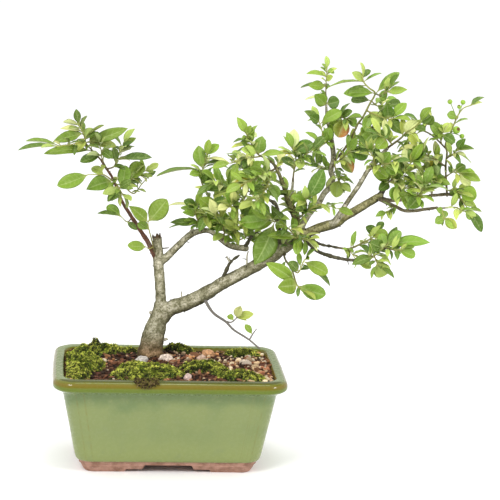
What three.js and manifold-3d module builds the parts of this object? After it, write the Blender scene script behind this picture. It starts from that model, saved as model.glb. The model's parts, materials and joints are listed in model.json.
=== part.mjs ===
// A firethorn bonsai in its own glazed pot: trunk and limbs, leafy sprays, soil, moss, stones and screens.
// Millimetres, +Z up. Every size is measured from the middle of the pot's footprint on the table. At the
// end the group is moved so that its origin lies under the middle of the whole tree's bounding box.
import * as THREE from "three";
import { mergeVertices } from "three/addons/utils/BufferGeometryUtils.js";
import Module from "manifold-3d";

const wasm = await Module();
wasm.setup();

// Driving sizes of the pot
const RIM = { halfWidth: 100.5, halfDepth: 70, corner: 18, height: 87.2 };
const OPENING = { halfWidth: 91.5, halfDepth: 59, corner: 13 };
const FLOOR_TOP = 17;
const FOOT_HEIGHT = 8;
const FEET = { inset: 23.6, corner: 12, wall: 13, taper: 4.5 };
// The arches between the feet: half width of the high middle and of the low step at each side of it
const ARCHES = { frontBack: [21, 37], sides: [8, 16], height: 7, stepHeight: 2.6 };
const CORNER_STEPS = 4;
const DRAIN = { radius: 7, offset: 42, sides: 12 };
const SCREEN = { size: 24, thick: 1.2, slot: 4, bar: 2.4, margin: 3 };

// Clearance kept between two solids that touch, and between crossing foliage
const GAP = 0.3;
const LEAF_GAP = 0.3;

// The soil is a shallow mound, highest round the trunk
const SOIL = { edge: 83.6, rise: 2.2, flare: 1.6, flareReach: 20.5, cell: 14, ripple: 0.6 };
const TRUNK_FOOT = { x: -14, y: 29 };

// Leaves
const BLADE_KEEL = 1.3;
const BLADE_ARCH = 0.07;
const SOLID_LEAF_EVERY = 7;
const SHOOT_SIDES = 3;
const STALK_SINK = 1.2;
const GOLDEN_ANGLE = 137.5;
const UP = new THREE.Vector3(0, 0, 1);
const FRONT = new THREE.Vector3(-0.09, -0.98, 0.19);
// What a leaf tries in turn, in millimetres at its tip, where its first place would cross another piece
const TIP_SHIFTS = [
  [0, 0, 0], [0, 4, 1], [0, -4, 1], [0, 8, 2], [0, -8, 2], [3, 12, 0], [-3, -12, 0], [4, 0, 7], [-4, 0, -7],
];

const COLOURS = {
  glaze: 0x93a56c, soil: 0x4a3527, moss: 0x6f8a2c, bark: 0x8a7f6a, leaf: 0x6fa436, screen: 0x2b2b2b,
};

function seeded(seed) {
  let state = seed >>> 0;
  return () => {
    state = (state + 0x6d2b79f5) >>> 0;
    let mixed = state;
    mixed = Math.imul(mixed ^ (mixed >>> 15), mixed | 1);
    mixed ^= mixed + Math.imul(mixed ^ (mixed >>> 7), mixed | 61);
    return ((mixed ^ (mixed >>> 14)) >>> 0) / 4294967296;
  };
}

// Solids and meshes
function solidOf(geometry) {
  const bare = geometry.clone();
  bare.deleteAttribute("normal");
  bare.deleteAttribute("uv");
  const merged = mergeVertices(bare, 1e-4);
  const mesh = new wasm.Mesh({
    numProp: 3,
    vertProperties: new Float32Array(merged.attributes.position.array),
    triVerts: new Uint32Array(merged.index.array),
  });
  return new wasm.Manifold(mesh);
}

function geometryOf(solid) {
  const { vertProperties, triVerts } = solid.getMesh();
  const geometry = new THREE.BufferGeometry();
  geometry.setAttribute("position", new THREE.BufferAttribute(new Float32Array(vertProperties), 3));
  geometry.setIndex(new THREE.BufferAttribute(new Uint32Array(triVerts), 1));
  geometry.computeVertexNormals();
  return geometry;
}

function closedFrom(vertices, triangles) {
  const geometry = new THREE.BufferGeometry();
  geometry.setAttribute("position", new THREE.Float32BufferAttribute(vertices.flatMap((v) => v.toArray()), 3));
  geometry.setIndex(triangles.flat());
  return geometry;
}

// Rings of equal point count, joined into one closed skin with a fan on each end
function loft(rings) {
  const count = rings[0].length;
  const vertices = rings.flat();
  const triangles = [];
  for (let r = 0; r + 1 < rings.length; r++) {
    for (let k = 0; k < count; k++) {
      const a = r * count + k;
      const b = r * count + ((k + 1) % count);
      triangles.push([a, b, b + count], [a, b + count, a + count]);
    }
  }
  const last = (rings.length - 1) * count;
  for (let k = 1; k + 1 < count; k++) {
    triangles.push([0, k + 1, k], [last, last + k, last + k + 1]);
  }
  return closedFrom(vertices, triangles);
}

function largestBody(solid) {
  const bodies = solid.decompose();
  return bodies.reduce((best, body) => (body.volume() > best.volume() ? body : best));
}

function unionOf(solids) {
  return solids.slice(1).reduce((whole, solid) => whole.add(solid), solids[0]);
}

function insideBox(box, other) {
  return [0, 1, 2].every((i) => box.min[i] <= other.max[i] && other.min[i] <= box.max[i]);
}

// A tapered round branch along a few points, each [x, y, z, radius]
function branch(points, sides, grow = 0) {
  const centres = points.map(([x, y, z]) => new THREE.Vector3(x, y, z));
  const rings = [];
  let side = new THREE.Vector3();
  centres.forEach((centre, i) => {
    const before = centres[Math.max(i - 1, 0)];
    const after = centres[Math.min(i + 1, centres.length - 1)];
    const along = after.clone().sub(before).normalize();
    if (i === 0) side = Math.abs(along.y) < 0.9 ? new THREE.Vector3(0, 1, 0) : new THREE.Vector3(1, 0, 0);
    side.addScaledVector(along, -side.dot(along)).normalize();
    const across = along.clone().cross(side);
    const end = i === 0 ? -grow : i === centres.length - 1 ? grow : 0;
    rings.push(
      Array.from({ length: sides }, (_, k) => {
        const turn = (k / sides) * 2 * Math.PI;
        const radius = points[i][3] + grow;
        return centre
          .clone()
          .addScaledVector(along, end)
          .addScaledVector(side, Math.cos(turn) * radius)
          .addScaledVector(across, Math.sin(turn) * radius);
      }),
    );
  });
  return solidOf(loft(rings));
}

// The pot
function roundedRing(halfWidth, halfDepth, corner, z) {
  const ring = [];
  [[1, 1], [-1, 1], [-1, -1], [1, -1]].forEach(([sx, sy], quarter) => {
    for (let k = 0; k <= CORNER_STEPS; k++) {
      const turn = ((quarter + k / CORNER_STEPS) * Math.PI) / 2;
      const x = sx * (halfWidth - corner) + corner * Math.cos(turn);
      const y = sy * (halfDepth - corner) + corner * Math.sin(turn);
      ring.push(new THREE.Vector3(x, y, z));
    }
  });
  return ring;
}

// Each level is [z, inset from the rim's outline, corner radius]
const BODY_LEVELS = [
  [FOOT_HEIGHT - 0.5, FEET.inset, FEET.corner], [11, 21.6, 12.3], [15.5, 19.8, 12.5], [71.5, 9, 14.5],
  [75, 7.2, 15], [76.4, 3.6, 16.5], [79, 0.5, 17.8], [83.5, 0, RIM.corner], [86.3, 1.4, 17.2],
  [RIM.height, 4, 15.5],
];
const CAVITY_LEVELS = [
  [FLOOR_TOP, 19, 8], [74, 6.6, 10.5], [85.3, 1, 12.5], [RIM.height + 1, 0, OPENING.corner],
];

function cavity(shrink) {
  return solidOf(
    loft(
      CAVITY_LEVELS.map(([z, inset, corner], i) =>
        roundedRing(
          OPENING.halfWidth - inset - shrink,
          OPENING.halfDepth - inset - shrink,
          corner,
          i === 0 ? z + shrink : z,
        ),
      ),
    ),
  );
}

function footRing(extra, bottom, top, taper) {
  const ring = (z, narrower) => {
    const inset = FEET.inset + extra + narrower;
    return roundedRing(RIM.halfWidth - inset, RIM.halfDepth - inset, FEET.corner - extra / 2, z);
  };
  return solidOf(loft([ring(bottom, taper), ring(top, 0)]));
}

function slab(x0, x1, y0, y1, z0, z1) {
  const box = new THREE.BoxGeometry(x1 - x0, y1 - y0, z1 - z0);
  box.translate((x0 + x1) / 2, (y0 + y1) / 2, (z0 + z1) / 2);
  return solidOf(box);
}

function makePot() {
  const levels = BODY_LEVELS.map(([z, inset, corner]) =>
    roundedRing(RIM.halfWidth - inset, RIM.halfDepth - inset, corner, z),
  );
  let pot = solidOf(loft(levels)).subtract(cavity(0));
  let feet = footRing(0, 0, FOOT_HEIGHT, FEET.taper).subtract(footRing(FEET.wall, -1, FOOT_HEIGHT + 1, -1));
  const [longCut, shortCut] = [RIM.halfWidth, RIM.halfDepth];
  const alongY = (half, top) => slab(-half, half, -shortCut, shortCut, -1, top);
  const alongX = (half, top) => slab(-longCut, longCut, -half, half, -1, top);
  for (const [cut, [high, low]] of [[alongY, ARCHES.frontBack], [alongX, ARCHES.sides]]) {
    feet = feet.subtract(cut(high, ARCHES.height)).subtract(cut(low, ARCHES.stepHeight));
  }
  pot = pot.add(feet);
  for (const side of [-1, 1]) {
    const hole = new THREE.CylinderGeometry(DRAIN.radius, DRAIN.radius, 30, DRAIN.sides).rotateX(Math.PI / 2);
    pot = pot.subtract(solidOf(hole.translate(side * DRAIN.offset, 0, FLOOR_TOP - 5)));
  }
  return pot;
}

function makeScreen(side) {
  const half = SCREEN.size / 2;
  const middle = side * DRAIN.offset;
  const [low, high] = [FLOOR_TOP + GAP, FLOOR_TOP + GAP + SCREEN.thick];
  let screen = slab(middle - half, middle + half, -half, half, low, high);
  for (const step of [-1, 0, 1]) {
    const x = middle + step * (SCREEN.slot + SCREEN.bar) - SCREEN.slot / 2;
    screen = screen.subtract(
      slab(x, x + SCREEN.slot, SCREEN.margin - half, half - SCREEN.margin, low - 1, high + 1),
    );
  }
  return screen;
}

// Soil, stones and moss
function soilHeight(x, y) {
  const fall = (x / 92) ** 2 * 0.75 + (y / 60) ** 2 * 0.9;
  const flare = Math.exp(-((x - TRUNK_FOOT.x) ** 2 + (y - TRUNK_FOOT.y) ** 2) / SOIL.flareReach ** 2);
  const ripple = Math.sin(x * 0.21 + y * 0.13) + Math.sin(y * 0.27 - x * 0.11 + 1.3);
  return SOIL.edge + SOIL.rise * Math.max(0, 1 - fall) + SOIL.flare * flare + SOIL.ripple * ripple * 0.5;
}

// A block with a shaped top over a lattice of square cells
function heightBlock(x0, x1, y0, y1, cell, bottom, height) {
  const columns = Math.round((x1 - x0) / cell);
  const rows = Math.round((y1 - y0) / cell);
  const vertices = [];
  const triangles = [];
  const at = (i, j, top) => (top ? 0 : (columns + 1) * (rows + 1)) + j * (columns + 1) + i;
  for (const top of [true, false]) {
    for (let j = 0; j <= rows; j++) {
      for (let i = 0; i <= columns; i++) {
        const x = x0 + (i / columns) * (x1 - x0);
        const y = y0 + (j / rows) * (y1 - y0);
        vertices.push(new THREE.Vector3(x, y, top ? height(x, y) : bottom));
      }
    }
  }
  for (let j = 0; j < rows; j++) {
    for (let i = 0; i < columns; i++) {
      const [a, b, c, d] = [at(i, j, true), at(i + 1, j, true), at(i + 1, j + 1, true), at(i, j + 1, true)];
      triangles.push([a, b, c], [a, c, d]);
      const [e, f, g, h] = [at(i, j, false), at(i + 1, j, false), at(i + 1, j + 1, false), at(i, j + 1, false)];
      triangles.push([e, g, f], [e, h, g]);
    }
  }
  const wall = (p, q, pTop, qTop) => triangles.push([p, q, qTop], [p, qTop, pTop]);
  for (let i = 0; i < columns; i++) {
    wall(at(i, 0, false), at(i + 1, 0, false), at(i, 0, true), at(i + 1, 0, true));
    wall(at(i + 1, rows, false), at(i, rows, false), at(i + 1, rows, true), at(i, rows, true));
  }
  for (let j = 0; j < rows; j++) {
    wall(at(0, j + 1, false), at(0, j, false), at(0, j + 1, true), at(0, j, true));
    wall(at(columns, j, false), at(columns, j + 1, false), at(columns, j, true), at(columns, j + 1, true));
  }
  return solidOf(closedFrom(vertices, triangles));
}

// Larger stones, each with its own seat: [name, x, y, half length, half width, half height, turn in degrees]
const STONES = [
  ["stone_pale_front", -23, 9, 6, 4.6, 3.8, 20],
  ["stone_white_right", -2, 14, 6.4, 4.4, 4.2, 8],
  ["stone_orange", 38, 37, 6, 4.4, 4, 0],
  ["stone_cream", 30, 20, 4.4, 3.4, 3.4, 40],
  ["stone_grey_right", 69, 6, 5.4, 4.2, 3.4, 10],
  ["stone_mauve", 15, -43, 4.6, 3.4, 3.6, 70],
];
// Small grit standing out of the soil: [x, y, radius]
const GRIT = [
  [14, 2, 2.4], [37, 6, 2.4], [50, 24, 2.8], [-30, 20, 2.2],
  [58, 2, 2.4], [22, 36, 2.6], [52, 44, 2.4], [84, -8, 2.6],
];

function pebble(x, y, radii, turn, detail, grow) {
  const geometry = new THREE.IcosahedronGeometry(1, detail);
  geometry.scale(radii[0] + grow, radii[1] + grow, radii[2] + grow);
  geometry.rotateZ((turn * Math.PI) / 180);
  geometry.translate(x, y, soilHeight(x, y) + radii[2] * 0.25);
  return solidOf(geometry);
}

// Moss: each patch is one or more mounds [x, y, half length, half width, height, turn in degrees]
const MOSS = {
  moss_left: [[-77, -6, 19, 46, 8, -2], [-58, 41, 30, 13, 8.5, 4]],
  moss_front: [[-21, -31, 32, 25, 7, 4]],
  moss_front_right: [[32, -15, 23, 15, 6.5, -16], [62, -38, 23, 14, 6, -12]],
  moss_back: [[11, 51, 15, 7, 7.5, 0]],
  moss_right_back: [[71, 44, 17, 11, 6, -6]],
};

// A mound of ten spokes: a skirt sunk in the soil, its edge, its shoulder and its top
function cushion(x, y, halfLength, halfWidth, height, turn, seed) {
  const spokes = 10;
  const sunk = 7;
  const levels = [[1, 0], [1, 0], [0.8, 0.62], [0.35, 1]];
  const [c, s] = [Math.cos((turn * Math.PI) / 180), Math.sin((turn * Math.PI) / 180)];
  const rings = levels.map(([reach, lift], level) =>
    Array.from({ length: spokes }, (_, k) => {
      const angle = (k / spokes) * 2 * Math.PI;
      const lobe = 1 + 0.13 * Math.sin(3 * angle + seed) + 0.08 * Math.sin(5 * angle + 2 * seed);
      const bump = 1 + 0.16 * Math.sin(4 * angle + seed * 1.7 + reach * 5);
      const px = Math.cos(angle) * halfLength * reach * lobe;
      const py = Math.sin(angle) * halfWidth * reach * lobe;
      const [wx, wy] = [x + px * c - py * s, y + px * s + py * c];
      const rise = level === 0 ? -sunk : lift * height * bump;
      return new THREE.Vector3(wx, wy, soilHeight(wx, wy) + rise);
    }),
  );
  return solidOf(loft(rings));
}

// The wood: every branch is [sides, points], each point [x, y, z, radius]
const BRANCHES = {
  trunk: [9, [
    [-16, 30, 58, 7], [-15.4, 29, 77, 11.6], [-15, 29, 89, 11.4], [-13, 28, 104, 10.2], [-10, 27, 116, 8.6],
    [-7, 26, 127, 7.5], [-7, 25, 136, 5.7],
  ]],
  leader: [7, [
    [-8, 26, 124, 6.3], [-7, 25, 134, 5.1], [-8, 24, 152, 4.6], [-10, 25, 171, 4.8], [-11, 26, 182, 4.5],
  ]],
  stump: [6, [[-10, 26, 176, 4.7], [-11, 26, 187, 4.2], [-12, 26, 197, 4]]],
  main: [8, [
    [-11, 27, 115, 7.5], [0, 24, 130, 7.1], [18, 21, 138, 6.6], [33, 18, 147, 6.3], [47, 15, 157, 5.9],
    [62, 12, 166, 5.7], [76, 9, 175, 5.7], [88, 7, 183, 5.6], [99, 6, 191, 5.4], [107, 5, 198, 4.9],
    [113, 5, 204, 4.4],
  ]],
  right: [7, [
    [110, 5, 201, 4.5], [128, 3, 210, 4.3], [144, 0, 216, 4.2], [151, -2, 222, 3.9], [160, -4, 228, 3.8],
    [174, -8, 238, 3.5], [181, -10, 243, 3],
  ]],
  right_stub: [6, [[178, -9, 240, 2.4], [182, -9, 246, 2.3], [185, -8, 251, 1.9]]],
  twig_upper: [4, [
    [178, -9, 241, 2.3], [190, -6, 238, 1.7], [204, 0, 238, 1.5], [215, 6, 239, 1.4],
    [229, 11, 240, 1.4], [244, 15, 241, 1.4], [254, 17, 239, 1],
  ]],
  twig_lower: [4, [
    [179, -11, 240, 2.1], [192, -18, 235, 1.5], [202, -24, 232, 1.5], [218, -30, 235, 1.4],
    [227, -32.2, 237, 1.2],
  ]],
  grey: [5, [
    [110, 6, 202, 3.7], [116, 9, 214, 3.1], [122, 14, 222, 2.8], [130, 19, 230, 2.6],
    [135, 23, 238, 2.6], [140, 26, 243, 2.6], [143, 28, 251, 2.6], [141, 29, 258, 2.4],
    [143, 30, 269, 2.4], [141, 31, 283, 2.3], [139, 32, 294, 1.9], [136, 33, 304, 1.5],
    [135, 34, 316, 1.1],
  ]],
  grey_fork: [4, [[140, 32, 292, 1.6], [142, 31, 298, 1.4], [143, 30, 303, 1.2]]],
  pale: [5, [
    [141, 0, 215, 3], [146, -3, 224, 2.5], [153, -6, 237, 2.2], [162, -10, 253, 2.1], [168, -12, 265, 2],
    [175, -14, 276, 2], [181, -15, 282, 1.7], [184, -15.6, 286, 1.4],
  ]],
  riser: [5, [
    [113, 4, 202, 4], [111, 2, 211, 3.5], [106, -1, 225, 3.4], [100, -4, 237, 2.8], [96, -7, 248, 2],
    [87, -11, 267, 1.4], [77, -15, 275, 1],
  ]],
  riser_twig: [4, [[101, -4, 235, 1.9], [103, -8, 246, 1.4], [103, -11, 257, 1]]],
  dark_riser: [4, [
    [97, 8, 189, 2.6], [95, 14, 208, 2.1], [93, 19, 226, 1.8], [85, 23, 232, 1.5], [77, 26, 236, 1.2],
  ]],
  middle: [6, [
    [-9, 26, 173, 4], [-3, 27, 177, 3.5], [7, 29, 187, 3.1], [18, 31, 197, 3], [29, 31, 201, 2.5],
    [37, 30, 200, 2.3], [46, 28, 193, 2.3], [55, 26, 188, 2.6], [68, 24, 187, 3],
  ]],
  middle_stub: [4, [[16, 31, 195, 2.1], [20, 31, 202, 1.6]]],
  dark_stub: [4, [[66, 24, 187, 1.9], [72, 21, 199, 1.5], [78, 19, 205, 1.3]]],
  low_twig: [4, [[47, 14, 162, 1.7], [50, 10, 171, 1.5], [53, 8, 178, 1.3], [60, 7, 184, 1]]],
  low_twig_stub: [3, [[52, 8, 178, 1], [49, 5, 183, 0.8]]],
  left: [5, [
    [-12, 26, 176, 2.8], [-14, 24, 180, 2.4], [-21, 22, 193, 2.1], [-31, 20, 208, 1.9],
    [-36, 19, 216, 1.7], [-43, 18, 227, 1.4], [-52, 17, 248, 1.2], [-59, 16, 259, 1.1],
    [-63, 15, 265, 1],
  ]],
  thorn_limb: [3, [[13, 21, 139, 0.9], [11, 20, 144, 0.7], [11, 19, 148, 0.4]]],
  thorn_leader: [3, [[-10, 26, 185, 0.9], [-1, 25, 186, 0.4]]],
  knob_left: [4, [[-12, 26, 125, 1.7], [-16, 25, 127, 1.5]]],
  knob_right: [4, [[-7, 27, 100, 1.6], [-1, 25, 103, 1.4]]],
  limb_twig_pale: [3, [[68, 10, 172, 1], [67, 8, 182, 0.8], [68, 6, 188, 0.5]]],
  lower_right: [4, [
    [118, 3, 200, 2.3], [126, -8, 193, 1.7], [136, -16, 190, 1.6], [151, -24, 188, 1.5],
    [164, -30, 189, 1.2],
  ]],
  lower_upper: [4, [[120, 3, 203, 2.1], [128, -4, 198, 1.5], [145, -10.6, 196, 1.2]]],
};

// A leafy shoot, a sprig that springs from an earlier shoot of the same spray, a leaf with its own place,
// and a berry. A share says how far up its shoot a sprig, leaf or berry springs.
function shoot(points, radius, leaves, leafLength) {
  return { kind: "shoot", points, radius, leaves, leafLength };
}

function sprig(parent, share, points, radius, leaves, leafLength) {
  return { ...shoot(points, radius, leaves, leafLength), from: [parent, share] };
}

function leaf(shootIndex, share, tip, width, lie) {
  return { kind: "leaf", shoot: shootIndex, share, tip, width, lie };
}

function berry(shootIndex, share, centre, radius) {
  return { kind: "berry", shoot: shootIndex, share, centre, radius };
}

const SPRAYS = {
  spray_left_tip: [
    shoot([[-62, 15, 264], [-70, 12, 273], [-76, 9, 280], [-78, 7, 287], [-83, 4, 298]], 1, 6, 15),
    sprig(0, 0.46, [[-82, 4, 281], [-91, -2, 280], [-102, -6, 279]], 0.8, 2, 14),
    leaf(0, 0.95, [-96, 0, 300], 7, 0.7),
    leaf(0, 0.8, [-99, 12, 292], 8, 0.6),
    leaf(0, 0.75, [-105, 0, 282], 10, 0.15),
    leaf(0, 0.65, [-61, -2, 298], 7, 0.8),
    leaf(0, 0.55, [-40, 12, 294], 11, 0.2),
    leaf(0, 0.55, [-50, 1, 277], 8, 0.3),
    leaf(0, 0.6, [-71, 16, 293], 9, 0.2),
    leaf(0, 0.65, [-83, -1, 275], 9, 0.2),
    leaf(0, 0.3, [-112, 0, 272], 9, 0.3),
    leaf(1, 0.95, [-134, -11, 277], 7, 0.7),
    leaf(1, 0.9, [-128, 1, 281], 7, 0.8),
    leaf(1, 0.7, [-83, -15, 285], 7, 0.8),
  ],
  spray_left_middle: [
    shoot([[-57, 16, 257], [-51, 20, 259], [-48, 24, 267], [-46, 26, 272], [-43, 28, 278]], 1, 7, 15),
    leaf(0, 0.8, [-32, 30, 283], 7, 0.4),
    leaf(0, 0.65, [-36, 33, 274], 7, 0.6),
    leaf(0, 0.5, [-18, 26, 267], 9, 0.45),
    leaf(0, 0.45, [-60, 37, 269], 9, 0.3),
  ],
  spray_left_inner: [
    shoot([[-57, 16, 256], [-62, 9, 267], [-63, 5, 275], [-65, 2, 282]], 0.8, 5, 15),
    leaf(0, 0.6, [-81, 3, 265], 9, 0.3),
    leaf(0, 0.75, [-54, -3, 270], 8, 0.2),
  ],
  spray_left_low: [
    shoot([[-54, 17, 248], [-49, 8, 245], [-46, 2, 241], [-43, -4, 237]], 0.9, 6, 14),
    sprig(0, 0.08, [[-60, 8, 253], [-66, 2, 254], [-74, -3, 255]], 0.8, 0, 14),
    leaf(1, 1, [-100, -11, 246], 13, 0.1),
    leaf(0, 0.15, [-75, 3, 241], 14, 0.15),
    leaf(0, 0.55, [-61, -2, 238], 8, 0.2),
    leaf(0, 1, [-57, 2, 232], 9, 0.45),
    leaf(0, 0.6, [-37, -9, 251], 8, 0.2),
    leaf(1, 0.4, [-71, 15, 258], 8, 0.3),
  ],
  spray_left_back: [
    shoot([[-48, 18, 239], [-42, 28, 240], [-36, 36, 244], [-29, 42, 248], [-22, 46, 252]], 0.9, 7, 14),
    sprig(0, 0.28, [[-33, 38, 232], [-26, 46, 239], [-21, 50, 244]], 0.8, 2, 12),
    leaf(0, 0.15, [-41, 32, 258], 12, 0.1),
    leaf(0, 0.5, [-26, 41, 259], 14, 0.1),
    leaf(0, 0.75, [-40, 52, 248], 13, 0.2),
    leaf(0, 0.95, [-16, 49, 252], 8, 0.3),
  ],
  spray_left_pair: [
    shoot([[-13, 24, 179], [-17, 16, 195], [-20, 11, 206], [-21, 8, 213]], 0.9, 0, 14),
    sprig(0, 0.26, [[-19, 14, 187], [-22, 8, 190]], 0.7, 0, 14),
    leaf(0, 1, [-38, 3, 227], 11, 0.1),
    leaf(0, 1, [-5, 4, 233], 17, 0.05),
    leaf(0, 0.95, [-12, 23, 229], 7, 0.8),
    leaf(0, 0.75, [-29, 21, 209], 9, 0.2),
    leaf(1, 1, [-38, 4, 192], 9.5, 0.15),
  ],
  spray_left_side: [
    shoot([[-35, 19, 213], [-39, 13, 211], [-45, 8, 217]], 0.8, 0, 14),
    leaf(0, 0.95, [-65, 4, 220], 6, 0.6),
    leaf(0, 0.95, [-57, 12, 225], 9, 0.2),
    leaf(0, 0.5, [-30, 10, 204], 6, 0.4),
  ],
  spray_mid_tall: [
    shoot([
      [34, 30, 200], [37, 32, 209], [37, 33, 221], [33, 32, 233], [26, 30, 246], [28, 28, 260],
      [30, 26, 270],
    ], 1, 6, 16),
    sprig(0, 0.24, [[43, 40, 226], [50, 46, 233], [52, 50, 242]], 0.9, 8, 17),
    leaf(0, 0.8, [23, 33, 277], 12, 0.05),
    leaf(0, 0.8, [-14, 24, 252], 8, 0.9),
    leaf(0, 0.75, [15, 19, 253], 8, 0.3),
    leaf(0, 1, [41, 30, 279], 8, 0.2),
    leaf(0, 0.95, [50, 21, 265], 7, 0.8),
    leaf(0, 0.9, [51, 35, 257], 7, 0.8),
    leaf(0, 0.7, [38, 18, 244], 10, 0.3),
  ],
  spray_mid_left: [
    shoot([[29, 31, 201], [25, 22, 209], [21, 15, 219], [22, 9, 228]], 1, 8, 16),
    sprig(0, 0.44, [[30, 10, 219], [36, 2, 226]], 0.9, 6, 16),
    leaf(0, 0.35, [-1, 17, 211], 8, 0.3),
    leaf(0, 0.3, [-2, 29, 204], 7, 0.85),
    leaf(0, 0.65, [9, 9, 221], 8, 0.4),
    leaf(0, 0.95, [10, 6, 232], 9, 0.3),
    leaf(0, 0.9, [-3, 19, 226], 7, 0.85),
    leaf(1, 0.95, [23, -2, 236], 14, 0.1),
    leaf(1, 0.55, [24, 4, 205], 9, 0.5),
  ],
  spray_mid_front: [
    shoot([[46, 28, 192], [47, 16, 202], [43, 4, 214], [37, -6, 223]], 1, 9, 18),
    sprig(0, 0.18, [[54, 10, 203], [59, 0, 212], [65, -8, 219]], 0.9, 8, 17),
    leaf(0, 0.4, [30, 4, 222], 12, 0.05),
    leaf(1, 0.7, [75, -7, 231], 13, 0.05),
    leaf(1, 0.5, [43, -4, 216], 10, 0.2),
    leaf(0, 0.3, [37, 8, 197], 8, 0.5),
  ],
  spray_mid_clump: [
    shoot([[60, 25, 187], [59, 34, 192], [56, 42, 199], [51, 48, 205]], 0.9, 9, 16),
    sprig(0, 0.3, [[67, 38, 194], [74, 42, 199], [79, 48, 206]], 0.9, 8, 16),
    leaf(0, 0.25, [44, 39, 193], 7, 0.4),
  ],
  spray_centre_fold: [
    shoot([[95, 14, 210], [92, 4, 215], [88, -8, 218], [84, -16, 223]], 1.1, 4, 18),
    leaf(0, 0.6, [72, -14, 180], 21, 0),
    leaf(0, 0.9, [58, -18, 218], 14, 0.1),
    leaf(0, 1, [67, -22, 232], 12, 0.2),
    leaf(0, 0.4, [98, -12, 213], 9, 0.2),
  ],
  spray_centre_crown: [
    shoot([[78, -14, 274], [71, -17, 278], [67, -18, 284], [60, -18, 296]], 1, 7, 15),
    sprig(0, 0.14, [[64, -22, 275], [54, -26, 273], [47, -28, 271]], 0.9, 7, 16),
    leaf(0, 0.25, [74, -21, 294], 12, 0.05),
    leaf(0, 0.95, [64, -21, 303], 6, 0.2),
    leaf(0, 0.9, [70, -15, 295], 6, 0.3),
    leaf(0, 0.6, [48, -16, 283], 7, 0.7),
    leaf(0, 0.5, [53, -10, 279], 7, 0.7),
    leaf(0, 0.3, [56, -26, 283], 9, 0.2),
    leaf(0, 0.2, [93, -25, 281], 8, 0.5),
  ],
  spray_centre_front: [
    shoot([[88, -11, 265], [78, -22, 262], [67, -32, 258], [56, -40, 255]], 1, 10, 17),
    sprig(0, 0.2, [[80, -28, 254], [74, -36, 246], [67, -42, 240]], 0.9, 9, 17),
    leaf(0, 0.3, [58, -27, 264], 10, 0.2),
    leaf(1, 0.4, [89, -34, 244], 10, 0.15),
    leaf(0, 0.65, [48, -38, 251], 9, 0.4),
  ],
  spray_centre_back: [
    shoot([[78, 26, 236], [75, 36, 244], [69, 44, 253], [64, 50, 260]], 1, 10, 17),
    sprig(0, 0.14, [[85, 42, 246], [92, 50, 254], [97, 56, 260]], 0.9, 8, 16),
    leaf(0, 0.7, [80, 38, 263], 9, 0.2),
  ],
  spray_centre_left: [
    shoot([[80, 25, 234], [69, 18, 239], [57, 12, 241], [45, 6, 245], [35, 2, 251]], 1, 11, 17),
    sprig(0, 0.32, [[62, 4, 234], [55, -4, 230], [47, -12, 230]], 0.9, 8, 17),
    leaf(0, 0.5, [56, 7, 258], 9, 0.2),
    leaf(0, 0.7, [27, -1, 243], 9, 0.4),
    leaf(1, 0.65, [45, -9, 242], 9, 0.2),
  ],
  spray_riser_side: [
    shoot([[108, 0, 218], [113, -12, 225], [115, -20, 234], [113, -24, 241]], 1, 6, 16),
    sprig(0, 0.5, [[120, -22, 233], [127, -27, 237], [141, -30, 234]], 0.8, 5, 14),
    leaf(0, 0.95, [127, -28, 267], 14, 0),
    leaf(0, 0.8, [101, -27, 244], 9, 0.2),
  ],
  spray_riser_top: [
    shoot([[103, -11, 254], [103, -16, 263], [104, -20, 274], [100, -22, 285]], 1, 7, 16),
    sprig(0, 0.44, [[109, -24, 277], [117, -28, 284]], 0.9, 6, 16),
    leaf(0, 0.95, [101, -24, 301], 11, 0.05),
    leaf(0, 0.85, [117, -26, 290], 12, 0.1),
    leaf(0, 0.7, [109, -15, 286], 12, 0.2),
    leaf(1, 0.5, [106, -30, 268], 9, 0.2),
    leaf(0, 0.45, [92, -14, 275], 8, 0.4),
    leaf(0, 0.95, [92, -19, 295], 2.5, 0.5),
  ],
  spray_limb_top: [
    shoot([[104, 5, 196], [106, -8, 205], [101, -18, 213], [95, -26, 217]], 1, 5, 16),
    sprig(0, 0.26, [[112, -16, 205], [117, -26, 205]], 0.9, 6, 16),
    leaf(1, 0.3, [82, -18, 207], 9, 0.35),
    leaf(1, 0.5, [107, -24, 192], 9, 0.2),
  ],
  spray_under: [
    shoot([
      [99, 6, 188], [100, -4, 183], [105, -12, 176], [108, -18, 167], [110, -21, 163], [114, -23, 159],
    ], 1.6, 1, 14),
    sprig(0, 0.4, [[110, -16, 174], [114, -20, 185], [116, -22, 188]], 0.9, 2, 14),
    leaf(0, 0.75, [81, -24, 184], 12, 0.05),
    leaf(0, 0.85, [92, -26, 163], 15, 0.05),
    leaf(0, 0.85, [134, -26, 157], 14, 0.05),
    leaf(1, 0.85, [135, -26, 176], 12, 0.1),
    leaf(1, 0.75, [141, -11, 162], 8, 0.5),
    leaf(1, 0.45, [101, -23, 185], 9, 0.2),
  ],
  spray_column_top: [
    shoot([[135, 34, 315], [134, 33, 329], [134, 32, 340], [134, 31, 349]], 0.8, 4, 12),
    leaf(0, 0.75, [116, 29, 344], 6, 0.5),
    leaf(0, 0.5, [118, 29, 333], 9, 0.1),
    leaf(0, 0.55, [112, 39, 330], 6, 0.8),
    leaf(0, 0.2, [116, 39, 320], 6, 0.8),
    leaf(0, 0, [124, 31, 325], 12, 0.05),
    leaf(0, 0.9, [141, 34, 345], 6, 0.4),
    leaf(0, 0.65, [139, 28, 342], 6, 0.3),
    leaf(0, 0.05, [146, 30, 320], 12, 0.1),
  ],
  spray_column_middle: [
    shoot([[141, 31, 282], [133, 24, 284], [126, 18, 280]], 0.9, 6, 15),
    sprig(0, 0.48, [[131, 22, 293], [127, 20, 304]], 0.9, 2, 14),
    leaf(1, 0.9, [114, 17, 312], 8, 0.4),
    leaf(1, 0.9, [118, 14, 308], 9, 0.1),
    leaf(1, 0.8, [146, 13, 313], 11, 0.1),
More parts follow.
